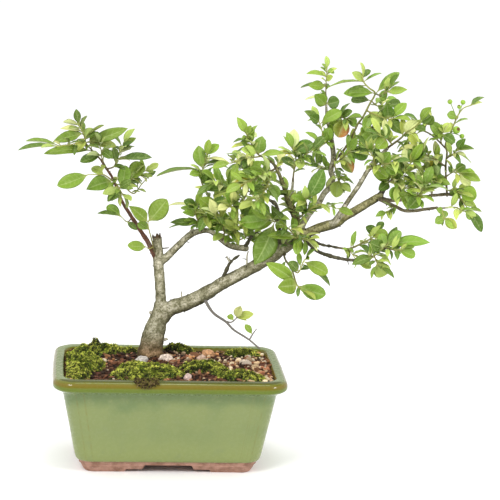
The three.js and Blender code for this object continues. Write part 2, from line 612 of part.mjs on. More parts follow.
    leaf(0, 0.35, [137, 20, 297], 11, 0.1),
    leaf(0, 0.9, [116, 25, 276], 8, 0.4),
  ],
  spray_column_low: [
    shoot([[141, 29, 260], [145, 20, 267], [151, 12, 274], [155, 6, 280]], 1, 7, 16),
    sprig(0, 0.22, [[145, 18, 255], [148, 10, 249]], 0.9, 6, 15),
    leaf(1, 0.75, [144, 9, 237], 13, 0.05),
    leaf(0, 0.65, [157, 6, 260], 12, 0.1),
    leaf(0, 0.9, [170, 3, 276], 14, 0.15),
    leaf(1, 1, [156, 7, 244], 8, 0.3),
  ],
  spray_column_back: [
    shoot([[143, 29, 257], [135, 32, 259], [128, 34, 263]], 0.8, 5, 14),
  ],
  spray_fork: [
    shoot([[144, 30, 304], [147, 24, 306], [152, 18, 306]], 0.8, 3, 14),
    leaf(0, 0.9, [144, 13, 290], 15, 0.05),
    leaf(0, 0.45, [156, 19, 313], 8, 0.4),
    leaf(0, 0.9, [162, 25, 300], 9, 0.2),
    leaf(0, 0.2, [139, 34, 291], 10, 0.2),
  ],
  spray_second: [
    shoot([
      [142, 29, 265], [149, 25, 274], [156, 20, 287], [161, 16, 301], [165, 13, 308], [170, 10, 320],
      [174, 7, 330], [168, 4, 335], [163, 1, 340], [161, -1, 345],
    ], 1.8, 1, 12),
    sprig(0, 0.2, [[159, 30, 282], [167, 36, 284], [174, 42, 285]], 1, 7, 16),
    sprig(0, 0.46, [[168, 8, 301], [176, 2, 298]], 0.9, 5, 16),
    sprig(0, 0.6, [[172, 2, 313], [179, -6, 311], [187, -12, 310]], 1, 3, 15),
    sprig(0, 0.78, [[178, 1, 329], [183, -3, 333], [185, -5, 338]], 0.9, 2, 13),
    sprig(0, 0.7, [[178, 16, 318], [186, 22, 318]], 0.8, 4, 14),
    leaf(2, 0.45, [165, 3, 293], 9, 0.2),
    leaf(2, 1, [162, -3, 284], 13, 0.1),
    leaf(1, 0.7, [177, 30, 276], 12, 0.2),
    leaf(3, 0.05, [184, -2, 306], 11, 0.1),
    leaf(3, 0.85, [197, -16, 298], 10, 0.1),
    leaf(3, 0.2, [165, 0, 298], 9, 0.1),
    leaf(3, 0.9, [182, -16, 324], 11, 0.1),
    leaf(3, 0.95, [200, -7, 324], 9, 0.2),
    leaf(0, 0.95, [152, -3, 349], 8, 0.3),
    leaf(0, 1, [168, 4, 351], 6, 0.5),
    leaf(0, 0.95, [178, 2, 349], 5, 0.8),
    leaf(0, 0.95, [132, 5, 336], 6, 0.9),
    leaf(0, 0.9, [148, -3, 331], 6, 0.8),
    leaf(4, 0.05, [195, 10, 349], 9, 0.3),
    leaf(4, 0.4, [194, 6, 341], 6, 0.8),
    leaf(4, 0.2, [184, -2, 327], 10, 0.1),
    leaf(4, 0.95, [183, -7, 345], 9, 0.1),
    leaf(4, 0.7, [200, -7, 336], 8, 0.3),
    leaf(4, 0.05, [146, -1, 329], 10, 0.15),
    leaf(5, 0, [154, 14, 323], 9, 0.2),
    leaf(5, 0.5, [191, 22, 308], 9, 0.1),
    leaf(5, 0.95, [200, 25, 320], 9, 0.3),
  ],
  spray_pale_end: [
    shoot([
      [184, -16, 286], [194, -17, 294], [199, -20, 300], [205, -23, 305], [210, -25, 311],
    ], 1.2, 4, 15),
    sprig(0, 0.12, [[181, -24, 295], [173, -30, 299]], 0.9, 5, 16),
    leaf(0, 0.5, [208, -24, 311], 12, 0.05),
    leaf(0, 0.95, [218, -27, 316], 9, 0.1),
    leaf(0, 0.95, [195, -28, 317], 6, 0.6),
    leaf(0, 0.8, [213, -28, 303], 8, 0.4),
    leaf(1, 0.55, [172, -30, 287], 12, 0.1),
  ],
  spray_pale_side: [
    shoot([[169, -12, 265], [174, -22, 271], [181, -30, 274], [188, -36, 276]], 1, 8, 17),
    sprig(0, 0.32, [[170, -26, 279], [163, -28, 288]], 0.9, 5, 15),
    leaf(0, 0.65, [191, -36, 268], 12, 0.1),
    leaf(0, 0.5, [184, -32, 283], 12, 0.1),
    leaf(0, 0.2, [184, -24, 261], 11, 0.2),
  ],
  spray_stub: [
    shoot([[184, -8, 250], [187, -14, 256], [193, -20, 261], [199, -26, 270], [204, -30, 277]], 1.1, 9, 17),
    sprig(0, 0.26, [[194, -26, 254], [201, -34, 253]], 0.9, 7, 17),
    leaf(0, 0.15, [170, -19, 267], 11, 0.15),
    leaf(0, 0.2, [177, -20, 249], 9, 0.2),
    leaf(0, 0.95, [212, -35, 286], 9, 0.3),
    leaf(1, 0.5, [188, -31, 243], 11, 0.1),
  ],
  spray_stub_back: [
    shoot([[183, -8, 248], [189, 4, 254], [195, 14, 261], [203, 22, 268], [209, 28, 274]], 1, 10, 17),
    sprig(0, 0.36, [[204, 20, 256], [215, 30, 253]], 0.9, 8, 17),
    leaf(0, 0.75, [214, 28, 278], 9, 0.3),
  ],
  spray_upper: [
    shoot([[215, 6, 239], [218, 11, 247], [222, 15, 255], [228, 18, 264]], 1, 10, 17),
  ],
  spray_upper_front: [
    shoot([[229, 11, 240], [229, 2, 249], [230, -6, 259]], 0.9, 7, 16),
    leaf(0, 0.5, [235, -6, 261], 9, 0.2),
  ],
  spray_lower: [
    shoot([[202, -24, 233], [205, -32, 241], [210, -40, 249], [214, -46, 259]], 1, 9, 17),
    leaf(0, 0.6, [199, -46, 238], 13, 0.1),
    leaf(0, 0.3, [192, -37, 250], 9, 0.2),
  ],
  spray_lower_left: [
    shoot([[194, -19, 235], [187, -22, 232], [184, -24, 230]], 0.8, 4, 12),
  ],
  spray_upright: [
    shoot([
      [244, 15, 239], [241, 13, 264], [241, 11, 279], [239, 10, 286], [244, 12, 298], [249, 13, 311],
      [254, 14, 318], [261, 14, 321],
    ], 1.6, 3, 13),
    sprig(0, 0.18, [[235, 22, 258], [228, 30, 264], [222, 36, 271]], 1, 9, 16),
    sprig(0, 0.3, [[230, 5, 273], [218, -2, 280], [210, -8, 287]], 1, 9, 16),
    sprig(0, 0.2, [[247, 8, 262], [252, 3, 262]], 0.8, 3, 13),
    sprig(0, 0.38, [[245, 6, 278], [249, 2, 283]], 0.8, 4, 13),
    sprig(0, 0.06, [[249, 8, 246], [253, 2, 244]], 0.8, 3, 14),
    sprig(0, 0.48, [[228, 7, 293], [217, 3, 299], [200, -3, 303], [189, -7, 311]], 1, 2, 13),
    sprig(6, 0.1, [[233, 4, 294], [235, 0, 299]], 0.8, 3, 13),
    sprig(6, 0.46, [[219, -2, 305], [219, -6, 310]], 0.7, 2, 13),
    sprig(6, 0.58, [[208, 8, 291], [205, 14, 283]], 0.8, 6, 15),
    leaf(2, 0.7, [205, -8, 277], 9, 0.2),
    leaf(3, 1, [270, -1, 256], 9, 0.3),
    leaf(3, 0.95, [262, -1, 250], 9, 0.15),
    leaf(3, 0.7, [258, 11, 268], 9, 0.2),
    leaf(4, 1, [260, 6, 286], 6, 0.7),
    leaf(4, 0.9, [262, -1, 284], 7, 0.7),
    leaf(4, 0.7, [263, 8, 271], 6, 0.8),
    leaf(5, 1, [267, -2, 242], 15, 0.2),
    leaf(5, 0.85, [261, 9, 250], 9, 0.3),
    leaf(0, 1, [271, 16, 324], 5, 0.8),
    leaf(0, 0.8, [239, 9, 313], 8, 0.2),
    leaf(8, 0.5, [224, -5, 313], 9, 0.1),
    leaf(7, 0.55, [223, -1, 307], 10, 0.1),
    leaf(7, 0.85, [241, 5, 306], 9, 0.2),
    leaf(7, 0.75, [245, -3, 290], 9, 0.2),
    berry(0, 0.8, [241, 10, 324], 2.2),
    berry(0, 0.85, [254, 17, 323], 2.2),
    berry(0, 0.85, [249, 8, 320], 1.8),
    berry(0, 0.65, [247, 4, 300], 3.4),
    berry(0, 0.65, [253, 8, 294], 2.2),
    berry(3, 1, [260, 0, 265], 2.2),
  ],
  spray_right_tip: [
    shoot([[254, 17, 239], [256, 10, 237], [259, 4, 233], [261, 0, 230]], 0.9, 2, 14),
    leaf(0, 0.2, [269, 4, 232], 8, 0.3),
    leaf(0, 0.75, [265, 9, 219], 8, 0.2),
    leaf(0, 0.95, [274, 5, 228], 6, 0.7),
    leaf(0, 0.95, [273, -4, 211], 9, 0.15),
    leaf(0, 0.35, [246, 15, 245], 9, 0.3),
  ],
  spray_hanging: [
    shoot([[226, -32, 236], [241, -35, 238], [244, -40, 238], [248, -43, 236]], 1, 3, 13),
    sprig(0, 0.18, [[231, -37, 233], [233, -39, 228]], 0.8, 1, 12),
    leaf(1, 1, [224, -42, 225], 8, 0.2),
    leaf(1, 1, [243, -42, 221], 9, 0.05),
    leaf(1, 0.1, [235, -28, 227], 8, 0.1),
    leaf(1, 0.45, [225, -41, 237], 7, 0.3),
  ],
  spray_lower_right: [
    shoot([[163, -29, 189], [174, -33, 194], [179, -35, 199], [185, -36, 205]], 1, 6, 15),
    sprig(0, 0.44, [[176, -38, 188], [179, -41, 185]], 0.8, 3, 14),
    sprig(0, 0.82, [[189, -42, 201], [197, -46, 202]], 0.8, 4, 14),
    leaf(0, 1, [195, -40, 217], 10, 0.2),
    leaf(0, 1, [221, -41, 208], 11, 0.3),
    leaf(1, 0.5, [183, -41, 178], 15, 0.05),
    leaf(2, 0.75, [207, -48, 197], 9, 0.2),
    leaf(1, 0.15, [154, -39, 187], 9, 0.3),
    leaf(0, 0.8, [169, -41, 207], 12, 0.1),
    leaf(0, 0.9, [179, -31, 213], 10, 0.1),
  ],
  spray_lower_back: [
    shoot([[143, -10, 196], [155, -14, 196], [167, -18, 203], [174, -12, 205], [180, -6, 209]], 1.3, 6, 15),
    sprig(0, 0.24, [[156, -20, 193], [159, -26, 189]], 0.8, 2, 13),
    leaf(0, 1, [169, -11, 215], 9, 0.2),
    leaf(1, 0.9, [172, -30, 182], 9, 0.2),
    leaf(0, 0.85, [189, -7, 209], 10, 0.1),
    leaf(0, 0.8, [177, -19, 195], 11, 0.1),
  ],
  spray_dead_twig: [
    shoot([
      [30, 18, 144], [38, 4, 133], [49, -6, 127], [56, -12, 121], [68, -20, 115], [78, -26, 108],
    ], 1.3, 0, 14),
    sprig(0, 0.46, [[54, -8, 127], [59, -10, 132]], 0.8, 0, 14),
    sprig(0, 0.84, [[72, -22, 120], [75, -23, 125]], 0.7, 0, 12),
    leaf(1, 1, [61, -14, 143], 8, 0.2),
    leaf(1, 1, [73, -13, 136], 8, 0.2),
    leaf(1, 1, [68, -5, 128], 6, 0.5),
    leaf(1, 0.65, [51, -6, 133], 6, 0.5),
    leaf(2, 0.45, [65, -20, 128], 6, 0.4),
  ],
};
const vec = ([x, y, z]) => new THREE.Vector3(x, y, z);

// Where a point lies along a bent line, from 0 at its root to 1 just short of its tip, and the line's way
function alongLine(points, share) {
  const places = points.map(vec);
  const lengths = places.slice(1).map((p, i) => p.distanceTo(places[i]));
  let left = share * lengths.reduce((sum, length) => sum + length, 0);
  let i = 0;
  while (i < lengths.length - 1 && left > lengths[i]) {
    left -= lengths[i];
    i += 1;
  }
  const way = places[i + 1].clone().sub(places[i]).normalize();
  const run = Math.min(left, lengths[i] - (i === lengths.length - 1 ? STALK_SINK : 0));
  return { place: places[i].clone().addScaledVector(way, run), way };
}

// A sprig takes its root from the shoot that it springs from
function rooted(shoots) {
  return shoots.reduce((done, part) => {
    const root = part.from && alongLine(done[part.from[0]].points, part.from[1]).place.toArray();
    return [...done, root ? { ...part, points: [root, ...part.points] } : part];
  }, []);
}

// A shoot tapers to just over half its root radius
function shootSolid({ points, radius }) {
  const last = points.length - 1;
  return branch(points.map((p, i) => [...p, radius * (1 - (0.4 * i) / last)]), SHOOT_SIDES);
}

// The leaves that a shoot bears by rule: they climb it by the golden angle and end in a leaf at its tip
function ruledLeaves({ points, leaves, leafLength }, index, seed) {
  const random = seeded(seed);
  return Array.from({ length: leaves }, (_, i) => {
    const [a, b, c, d] = [random(), random(), random(), random()];
    const atTip = i === leaves - 1;
    const { place, way } = alongLine(points, 0.22 + (0.78 * (i + 1)) / leaves);
    const side = new THREE.Vector3(0, 0, 1).addScaledVector(way, -way.z).normalize();
    const across = way.clone().cross(side);
    const turn = ((i * GOLDEN_ANGLE + 50 * (c - 0.5)) * Math.PI) / 180;
    const open = ((atTip ? 12 : 48 + 24 * b) * Math.PI) / 180;
    const outward = side.multiplyScalar(Math.cos(turn)).addScaledVector(across, Math.sin(turn));
    const way2 = way.clone().multiplyScalar(Math.cos(open)).addScaledVector(outward, Math.sin(open));
    way2.addScaledVector(UP, 0.12).normalize();
    const length = leafLength * (0.85 + 0.35 * a);
    return {
      shoot: index,
      base: place,
      tip: place.clone().addScaledVector(way2, length),
      width: length * 0.46,
      lie: 0.1 + 0.75 * d,
      solid: (leaves - 1 - i) % SOLID_LEAF_EVERY === 0,
    };
  });
}

// A blade: six points round it, arched from its stalk to its tip, over a keel along the midrib.
// lie 0 faces the front, lie 1 faces the sky.
function blade(base, tip, width, lie, keel) {
  const along = tip.clone().sub(base);
  const length = along.length();
  along.normalize();
  const face = FRONT.clone().lerp(UP, lie);
  face.addScaledVector(along, -face.dot(along)).normalize();
  const side = along.clone().cross(face);
  const arch = BLADE_ARCH * length;
  const places = [
    [0, 0, 0], [0.34, 0.5, arch], [0.72, 0.5, arch], [1, 0, 0], [0.72, -0.5, arch], [0.34, -0.5, arch],
    [0.34, 0, arch - keel], [0.72, 0, arch - keel],
  ];
  const vertices = places.map(([reach, half, lift]) =>
    base
      .clone()
      .addScaledVector(along, reach * length)
      .addScaledVector(side, half * width)
      .addScaledVector(face, lift),
  );
  const upper = [[0, 1, 5], [1, 2, 4], [1, 4, 5], [2, 3, 4]];
  const lower = [[0, 6, 1], [0, 5, 6], [1, 6, 2], [6, 7, 2], [5, 4, 7], [5, 7, 6], [2, 7, 3], [7, 4, 3]];
  return solidOf(closedFrom(vertices, [...upper, ...lower]));
}

// A fatter copy of the blade, short of its stalk, to feel for neighbours with
function feeler({ base, width, lie }, tip) {
  const away = base.clone().lerp(tip, 0.16);
  const beyond = tip.clone().addScaledVector(tip.clone().sub(base).normalize(), LEAF_GAP);
  return blade(away, beyond, width + 2 * LEAF_GAP, lie, BLADE_KEEL + 2 * LEAF_GAP);
}

function meets(solid, entries) {
  const box = solid.boundingBox();
  return entries.some((entry) => insideBox(box, entry.box) && solid.intersect(entry.solid).volume() > 1e-5);
}

const entryOf = (solid) => ({ solid, box: solid.boundingBox() });

// Places one leaf at the first tip that is clear of its neighbours, or leaves it out.
// near holds what its feeler stays clear of, far what the whole leaf stays clear of.
function placeLeaf({ base, tip, width, lie }, near, far) {
  for (const shift of TIP_SHIFTS) {
    const moved = tip.clone().add(vec(shift));
    const probe = feeler({ base, width, lie }, moved);
    const solid = blade(base, moved, width, lie, BLADE_KEEL);
    if (!meets(probe, near) && !meets(solid, far)) {
      return { solid, entry: entryOf(solid), felt: entryOf(probe) };
    }
  }
  return null;
}

function berrySolids({ centre, radius }, place) {
  const stalk = branch([[...place.toArray(), 0.5], [...centre, 0.45]], 3);
  const fruit = new THREE.IcosahedronGeometry(radius, 0).translate(...centre);
  return [stalk, solidOf(fruit)];
}

function makeSprays(wood, fixed) {
  const sprays = Object.entries(SPRAYS).map(([name, parts], number) => {
    const shoots = rooted(parts.filter((part) => part.kind === "shoot"));
    const baseOf = (part) => alongLine(shoots[part.shoot].points, part.share).place;
    const named = parts
      .filter((part) => part.kind === "leaf")
      .map((part) => ({ ...part, base: baseOf(part), tip: vec(part.tip) }));
    const ruled = shoots.flatMap((shoot, i) => ruledLeaves(shoot, i, 1000 * (number + 1) + 17 * i));
    const berries = parts
      .filter((part) => part.kind === "berry")
      .flatMap((part) => berrySolids(part, baseOf(part)));
    const stems = [...shoots.map(shootSolid), ...berries];
    const solidRuled = ruled.filter((leaf) => leaf.solid);
    return { name, named, ruled: solidRuled, stems, stemEntries: stems.map(entryOf), leaves: [] };
  });
  for (const list of ["named", "ruled"]) {
    for (const spray of sprays) {
      const others = sprays.filter((other) => other !== spray);
      const stems = others.flatMap((other) => other.stemEntries);
      const leaves = others.flatMap((other) => other.leaves);
      const far = [...stems, ...leaves.map((leaf) => leaf.entry)];
      for (const plan of spray[list]) {
        const felt = [...leaves, ...spray.leaves].map((leaf) => leaf.felt);
        const placed = placeLeaf(plan, [...fixed, ...stems, ...felt], far);
        if (placed) spray.leaves.push(placed);
      }
    }
  }
  return sprays.map(({ name, stems, leaves }) => {
    const whole = unionOf([...stems, ...leaves.map((leaf) => leaf.solid)]);
    return [name, largestBody(whole.subtract(wood))];
  });
}

// The whole object
function makeWood(grow) {
  return unionOf(Object.values(BRANCHES).map(([sides, points]) => branch(points, sides, grow)));
}

function material(name, color, roughness) {
  return new THREE.MeshStandardMaterial({ name, color, roughness, metalness: 0 });
}

const materials = {
  glaze: material("glaze", COLOURS.glaze, 0.25),
  soil: material("soil", COLOURS.soil, 0.95),
  moss: material("moss", COLOURS.moss, 0.95),
  bark: material("bark", COLOURS.bark, 0.85),
  leaf: material("leaf", COLOURS.leaf, 0.6),
  screen: material("screen", COLOURS.screen, 0.6),
};
const STONE_COLOURS = [0xc9c5b8, 0xe0dcd2, 0xc47a45, 0xcdbfa2, 0xa9a9a4, 0x9c7f7c];

const root = new THREE.Group();
root.name = "firethorn_bonsai";

function addNode(name, geometry, finish) {
  const mesh = new THREE.Mesh(geometry, finish);
  mesh.name = name;
  root.add(mesh);
}

const wood = makeWood(0);
const woodGrown = makeWood(GAP);
const screens = [-1, 1].map(makeScreen);
const stones = STONES.map(([name, x, y, a, b, c, turn]) => ({
  name,
  body: pebble(x, y, [a, b, c], turn, 1, 0),
  seat: pebble(x, y, [a, b, c], turn, 1, GAP),
}));

const soilCover = heightBlock(-98, 98, -70, 70, SOIL.cell, FLOOR_TOP - 2, soilHeight);
const gritSolids = (grow) =>
  GRIT.map(([x, y, radius]) => pebble(x, y, [radius, radius * 0.8, radius * 0.7], x * 7, 0, grow));
const stoneSeats = unionOf(stones.map((stone) => stone.seat));
const screenSeats = unionOf(
  [-DRAIN.offset, DRAIN.offset].map((x) => {
    const half = SCREEN.size / 2 + GAP;
    return slab(x - half, x + half, -half, half, 0, FLOOR_TOP + SCREEN.thick + 2 * GAP);
  }),
);
const plainSoil = unionOf([soilCover.intersect(cavity(GAP)), ...gritSolids(0)]);
const soil = largestBody(plainSoil.subtract(woodGrown).subtract(stoneSeats).subtract(screenSeats));

// Moss stands just clear of the soil, wood, stones and grit, and rises past the rim
const soilRaised = plainSoil.translate([0, 0, GAP]);
const seats = unionOf([stoneSeats, ...gritSolids(GAP)]);
const mossInset = 1.2;
const mossArea = cavity(mossInset).add(cavity(mossInset).translate([0, 0, 9]));
const cushions = Object.entries(MOSS).map(([name, mounds], i) => {
  const mound = unionOf(mounds.map((size) => cushion(...size, i + 1))).intersect(mossArea);
  return [name, largestBody(mound.subtract(soilRaised).subtract(woodGrown).subtract(seats))];
});

addNode("pot", geometryOf(makePot()), materials.glaze);
screens.forEach((screen, i) => addNode(`drain_screen_${i + 1}`, geometryOf(screen), materials.screen));
addNode("soil", geometryOf(soil), materials.soil);
stones.forEach(({ name, body }, i) => addNode(name, geometryOf(body), material(name, STONE_COLOURS[i], 0.8)));
cushions.forEach(([name, patch]) => addNode(name, geometryOf(patch), materials.moss));
addNode("wood", geometryOf(largestBody(wood)), materials.bark);
const fixed = [entryOf(woodGrown), entryOf(soil), ...cushions.map(([, patch]) => entryOf(patch))];
makeSprays(woodGrown, fixed).forEach(([name, solid]) => addNode(name, geometryOf(solid), materials.leaf));

const bounds = new THREE.Box3().setFromObject(root);
const middle = bounds.getCenter(new THREE.Vector3());
root.position.set(-middle.x, -middle.y, -bounds.min.z);

export default root;
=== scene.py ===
"""The looks of a firethorn bonsai that grows in its own glazed pot.

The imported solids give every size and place. This script dresses them in finer meshes and finishes:
the pot with its feet, the screens, the soil with its grit, the stones, the moss, the wood, the leafy
sprays with their berries, and the plain studio round them. Shapes are drawn in millimetres from the
middle of the pot's footprint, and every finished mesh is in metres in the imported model's own frame.
"""

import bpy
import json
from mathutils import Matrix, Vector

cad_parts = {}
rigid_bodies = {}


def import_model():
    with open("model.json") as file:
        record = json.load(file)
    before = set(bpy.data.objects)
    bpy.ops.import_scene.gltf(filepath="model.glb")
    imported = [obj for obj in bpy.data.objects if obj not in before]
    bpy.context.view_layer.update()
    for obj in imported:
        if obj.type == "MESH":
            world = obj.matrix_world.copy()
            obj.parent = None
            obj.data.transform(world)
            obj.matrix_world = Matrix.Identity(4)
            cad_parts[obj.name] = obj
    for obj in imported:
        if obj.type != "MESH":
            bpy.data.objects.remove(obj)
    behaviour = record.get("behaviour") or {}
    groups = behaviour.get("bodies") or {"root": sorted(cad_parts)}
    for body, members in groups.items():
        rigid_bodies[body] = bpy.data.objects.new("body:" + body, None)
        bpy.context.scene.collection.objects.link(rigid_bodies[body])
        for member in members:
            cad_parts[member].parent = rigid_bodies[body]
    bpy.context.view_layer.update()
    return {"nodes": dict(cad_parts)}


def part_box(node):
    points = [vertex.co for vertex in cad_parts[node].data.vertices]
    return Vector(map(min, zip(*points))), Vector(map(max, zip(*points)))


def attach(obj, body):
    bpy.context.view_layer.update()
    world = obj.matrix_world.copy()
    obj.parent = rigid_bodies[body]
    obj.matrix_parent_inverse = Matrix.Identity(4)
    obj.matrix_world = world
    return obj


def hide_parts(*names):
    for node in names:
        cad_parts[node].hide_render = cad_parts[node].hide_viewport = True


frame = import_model()

import json
import logging
import math
from dataclasses import dataclass, field
from enum import Enum
from typing import Sequence, Union

import bmesh
import bpy
import numpy as np
from mathutils import Matrix, Vector, noise
from mathutils.kdtree import KDTree

log = logging.getLogger("firethorn")
MM = 0.001
POT_LOW, POT_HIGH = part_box("pot")
HOME = np.array([(POT_LOW.x + POT_HIGH.x) / 2, (POT_LOW.y + POT_HIGH.y) / 2, 0.0])
UP = np.array([0.0, 0.0, 1.0])
FRONT = np.array([-0.09, -0.98, 0.19])
Colour = tuple[float, float, float]
Rows = np.ndarray
Faces = list[tuple[int, ...]]
Draw = np.random.Generator
Socket = bpy.types.NodeSocket
Material = bpy.types.Material
Piece = bpy.types.Object


def linear(code: str) -> Colour:
    """Turns a colour as on a chart, such as "93a56c", into Blender's linear values."""
    parts = [int(code[i:i + 2], 16) / 255 for i in (0, 2, 4)]
    return tuple(p / 12.92 if p <= 0.04045 else ((p + 0.055) / 1.055) ** 2.4 for p in parts)


def grain(points: Rows, size: float, seed: int = 0, octaves: int = 2) -> Rows:
    """Measures soft noise at each point, mostly from -1 to 1, with bumps this many millimetres apart."""
    places = (points / size + 17.31 * (seed + 1)).tolist()
    return np.array([noise.fractal(place, 1.0, 2.0, octaves) for place in places])


def step_up(value: Rows, low: float, high: float) -> Rows:
    """Rises smoothly from 0 at low to 1 at high."""
    share = np.clip((np.asarray(value, dtype=float) - low) / (high - low), 0, 1)
    return share * share * (3 - 2 * share)


def unit(vector: Rows) -> Rows:
    """Gives the vector at length 1."""
    return vector / max(float(np.linalg.norm(vector)), 1e-9)


def fade(share: Union[float, Rows], a: Union[Colour, Rows], b: Union[Colour, Rows]) -> Rows:
    """Gives the colours that lie at each share of the way from a to b."""
    return np.asarray(a) * (1 - share) + np.asarray(b) * share


def linked(name: str, data: bpy.types.ID) -> Piece:
    """Makes an object of a mesh, a lamp or a camera, and links it to the scene."""
    bpy.context.scene.collection.objects.link(made := bpy.data.objects.new(name, data))
    return made


def paint(mesh: bpy.types.Mesh, tints: Rows) -> None:
    """Gives each vertex of a mesh its colour."""
    layer = mesh.color_attributes.get("tint") or mesh.color_attributes.new("tint", "FLOAT_COLOR", "POINT")
    layer.data.foreach_set("color", np.column_stack([tints, np.ones(len(tints))]).ravel())


def read(mesh: bpy.types.Mesh, name: str) -> Rows:
    """Reads a property with three values, such as the place, of each of a mesh's vertices."""
    mesh.vertices.foreach_get(name, values := np.zeros(len(mesh.vertices) * 3))
    return values.reshape(-1, 3)


def tree_of(places: Rows) -> KDTree:
    """Puts places in a search tree.

    Args:
        places: rows of x, y and z.

    Returns:
        The tree, which gives back row numbers.
    """
    tree = KDTree(len(places))
    for i, place in enumerate(places.tolist()):
        tree.insert(place, i)
    tree.balance()
    return tree


@dataclass
class Draft:
    """A mesh being drawn, in millimetres from the middle of the pot's footprint.

    Each added shell brings its points, faces, colours, surface places and finish number.
    """

    points: list[Rows] = field(default_factory=list)
    faces: Faces = field(default_factory=list)
    tints: list[Rows] = field(default_factory=list)
    places: list[Rows] = field(default_factory=list)
    finishes: list[int] = field(default_factory=list)
    count: int = 0

    def add(
        self,
        points: Rows,
        faces: Sequence[tuple[int, ...]],
        tint: Union[Colour, Rows] = (1.0, 1.0, 1.0),
        place: Union[Rows, None] = None,
        finish: int = 0,
    ) -> None:
        """Adds one shell.

        Args:
            points: its corners.
            faces: rows of corner numbers.
            tint: one colour for all corners, or one for each.
            place: where each corner lies on the surface, as two values.
            finish: the number of its material.
        """
        start = self.count
        self.points.append(np.asarray(points, dtype=float))
        self.faces.extend(tuple(start + corner for corner in face) for face in faces)
        self.tints.append(np.broadcast_to(np.asarray(tint, dtype=float), (len(points), 3)))
        self.places.append(np.zeros((len(points), 2)) if place is None else place)
        self.finishes.extend([finish] * len(faces))
        self.count += len(points)

    def build(self, name: str, materials: Sequence[Material], smooth: bool = True) -> Piece:
        """Makes the object.

        Args:
            name: the piece's name.
            materials: its finishes, in the order of their numbers.
            smooth: whether its faces shade into each other.

        Returns:
            The new object, linked to the scene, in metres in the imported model's frame.
        """
        mesh = bpy.data.meshes.new(name)
        mesh.from_pydata((np.concatenate(self.points) * MM + HOME).tolist(), [], self.faces)
        paint(mesh, np.concatenate(self.tints))
        corners = np.zeros(len(mesh.loops), dtype=int)
        mesh.loops.foreach_get("vertex_index", corners)
        layer = mesh.uv_layers.new(name="place")
        layer.data.foreach_set("uv", np.concatenate(self.places)[corners].ravel())
        mesh.polygons.foreach_set("use_smooth", [smooth] * len(mesh.polygons))
        mesh.polygons.foreach_set("material_index", self.finishes)
        for material in materials:
            mesh.materials.append(material)
        mesh.update()
        return linked(name, mesh)


def hand_over(piece: Piece, slot: str, *nodes: str) -> None:
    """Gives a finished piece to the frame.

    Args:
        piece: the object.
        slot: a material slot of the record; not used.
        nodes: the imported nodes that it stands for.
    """
    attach(piece, "root")
    if nodes:
        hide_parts(*nodes)
    log.info("%s: %d faces, stands for %s", piece.name, len(piece.data.polygons), ", ".join(nodes))


def loft(rings: Sequence[Rows], close_ends: bool = True) -> Faces:
    """Joins rings of one length into a skin.

    Args:
        rings: rows of points, in order.
        close_ends: whether a face closes the first and the last ring.

    Returns:
        The faces, numbered through the rings in order.
    """
    size = len(rings[0])
    faces = []
    for r in range(len(rings) - 1):
        for k in range(size):
            a, b = r * size + k, r * size + (k + 1) % size
            faces.append((a, b, b + size, a + size))
    if close_ends:
        last = (len(rings) - 1) * size
        faces.append(tuple(reversed(range(size))))
        faces.append(tuple(range(last, last + size)))
    return faces


def smooth_line(points: Sequence[Sequence[float]], step: float) -> Rows:
    """Runs a smooth line through a few places.

    Args:
        points: rows of x, y, z and any more values that go along.
        step: how far apart its new rows lie, in millimetres.

    Returns:
        The rows of the smooth line, its first and last place included.
    """
    rows = np.asarray(points, dtype=float)
    padded = np.vstack([2 * rows[0] - rows[1], rows, 2 * rows[-1] - rows[-2]])
    made = []
    for i in range(1, len(padded) - 2):
        p0, p1, p2, p3 = padded[i - 1:i + 3]
        pieces = max(2, int(round(np.linalg.norm(p2[:3] - p1[:3]) / step)))
        for k in range(pieces):
            t = k / pieces
            made.append(
                0.5 * (2 * p1 + (p2 - p0) * t + (2 * p0 - 5 * p1 + 4 * p2 - p3) * t * t
                       + (3 * p1 - 3 * p2 + p3 - p0) * t ** 3)
            )
    made.append(rows[-1])
    return np.array(made)


def tube(rows: Rows, sides: int, round_tip: float = 0.6) -> tuple[Rows, Faces, Rows]:
    """Makes a closed round skin along a line.

    Args:
        rows: x, y, z and radius along the line.
        sides: how many corners each ring has.
        round_tip: how far the tip stands out, as a share of its radius.

    Returns:
        The corners, the faces, and each corner's share of the way along.
    """
    centres, radii = rows[:, :3], rows[:, 3]
    ways = np.gradient(centres, axis=0)
    side = np.cross(unit(ways[0]), [0.3, 0.9, 0.2])
    angles = np.arange(sides) * 2 * math.pi / sides
    rings = []
    for centre, way, radius in zip(centres, ways, radii):
        way = unit(way)
        side = unit(side - way * float(side @ way))
        across = np.cross(way, side)
        rings.append(centre + radius * (np.outer(np.cos(angles), side) + np.outer(np.sin(angles), across)))
    last = len(rings) - 1
    cap = rings[-1] * 0.55 + centres[-1] * 0.45 + unit(ways[-1]) * radii[-1] * round_tip
    rings.append(cap)
    share = np.repeat(np.append(np.arange(last + 1) / max(last, 1), 1.0), sides)
    return np.vstack(rings), loft(rings), share


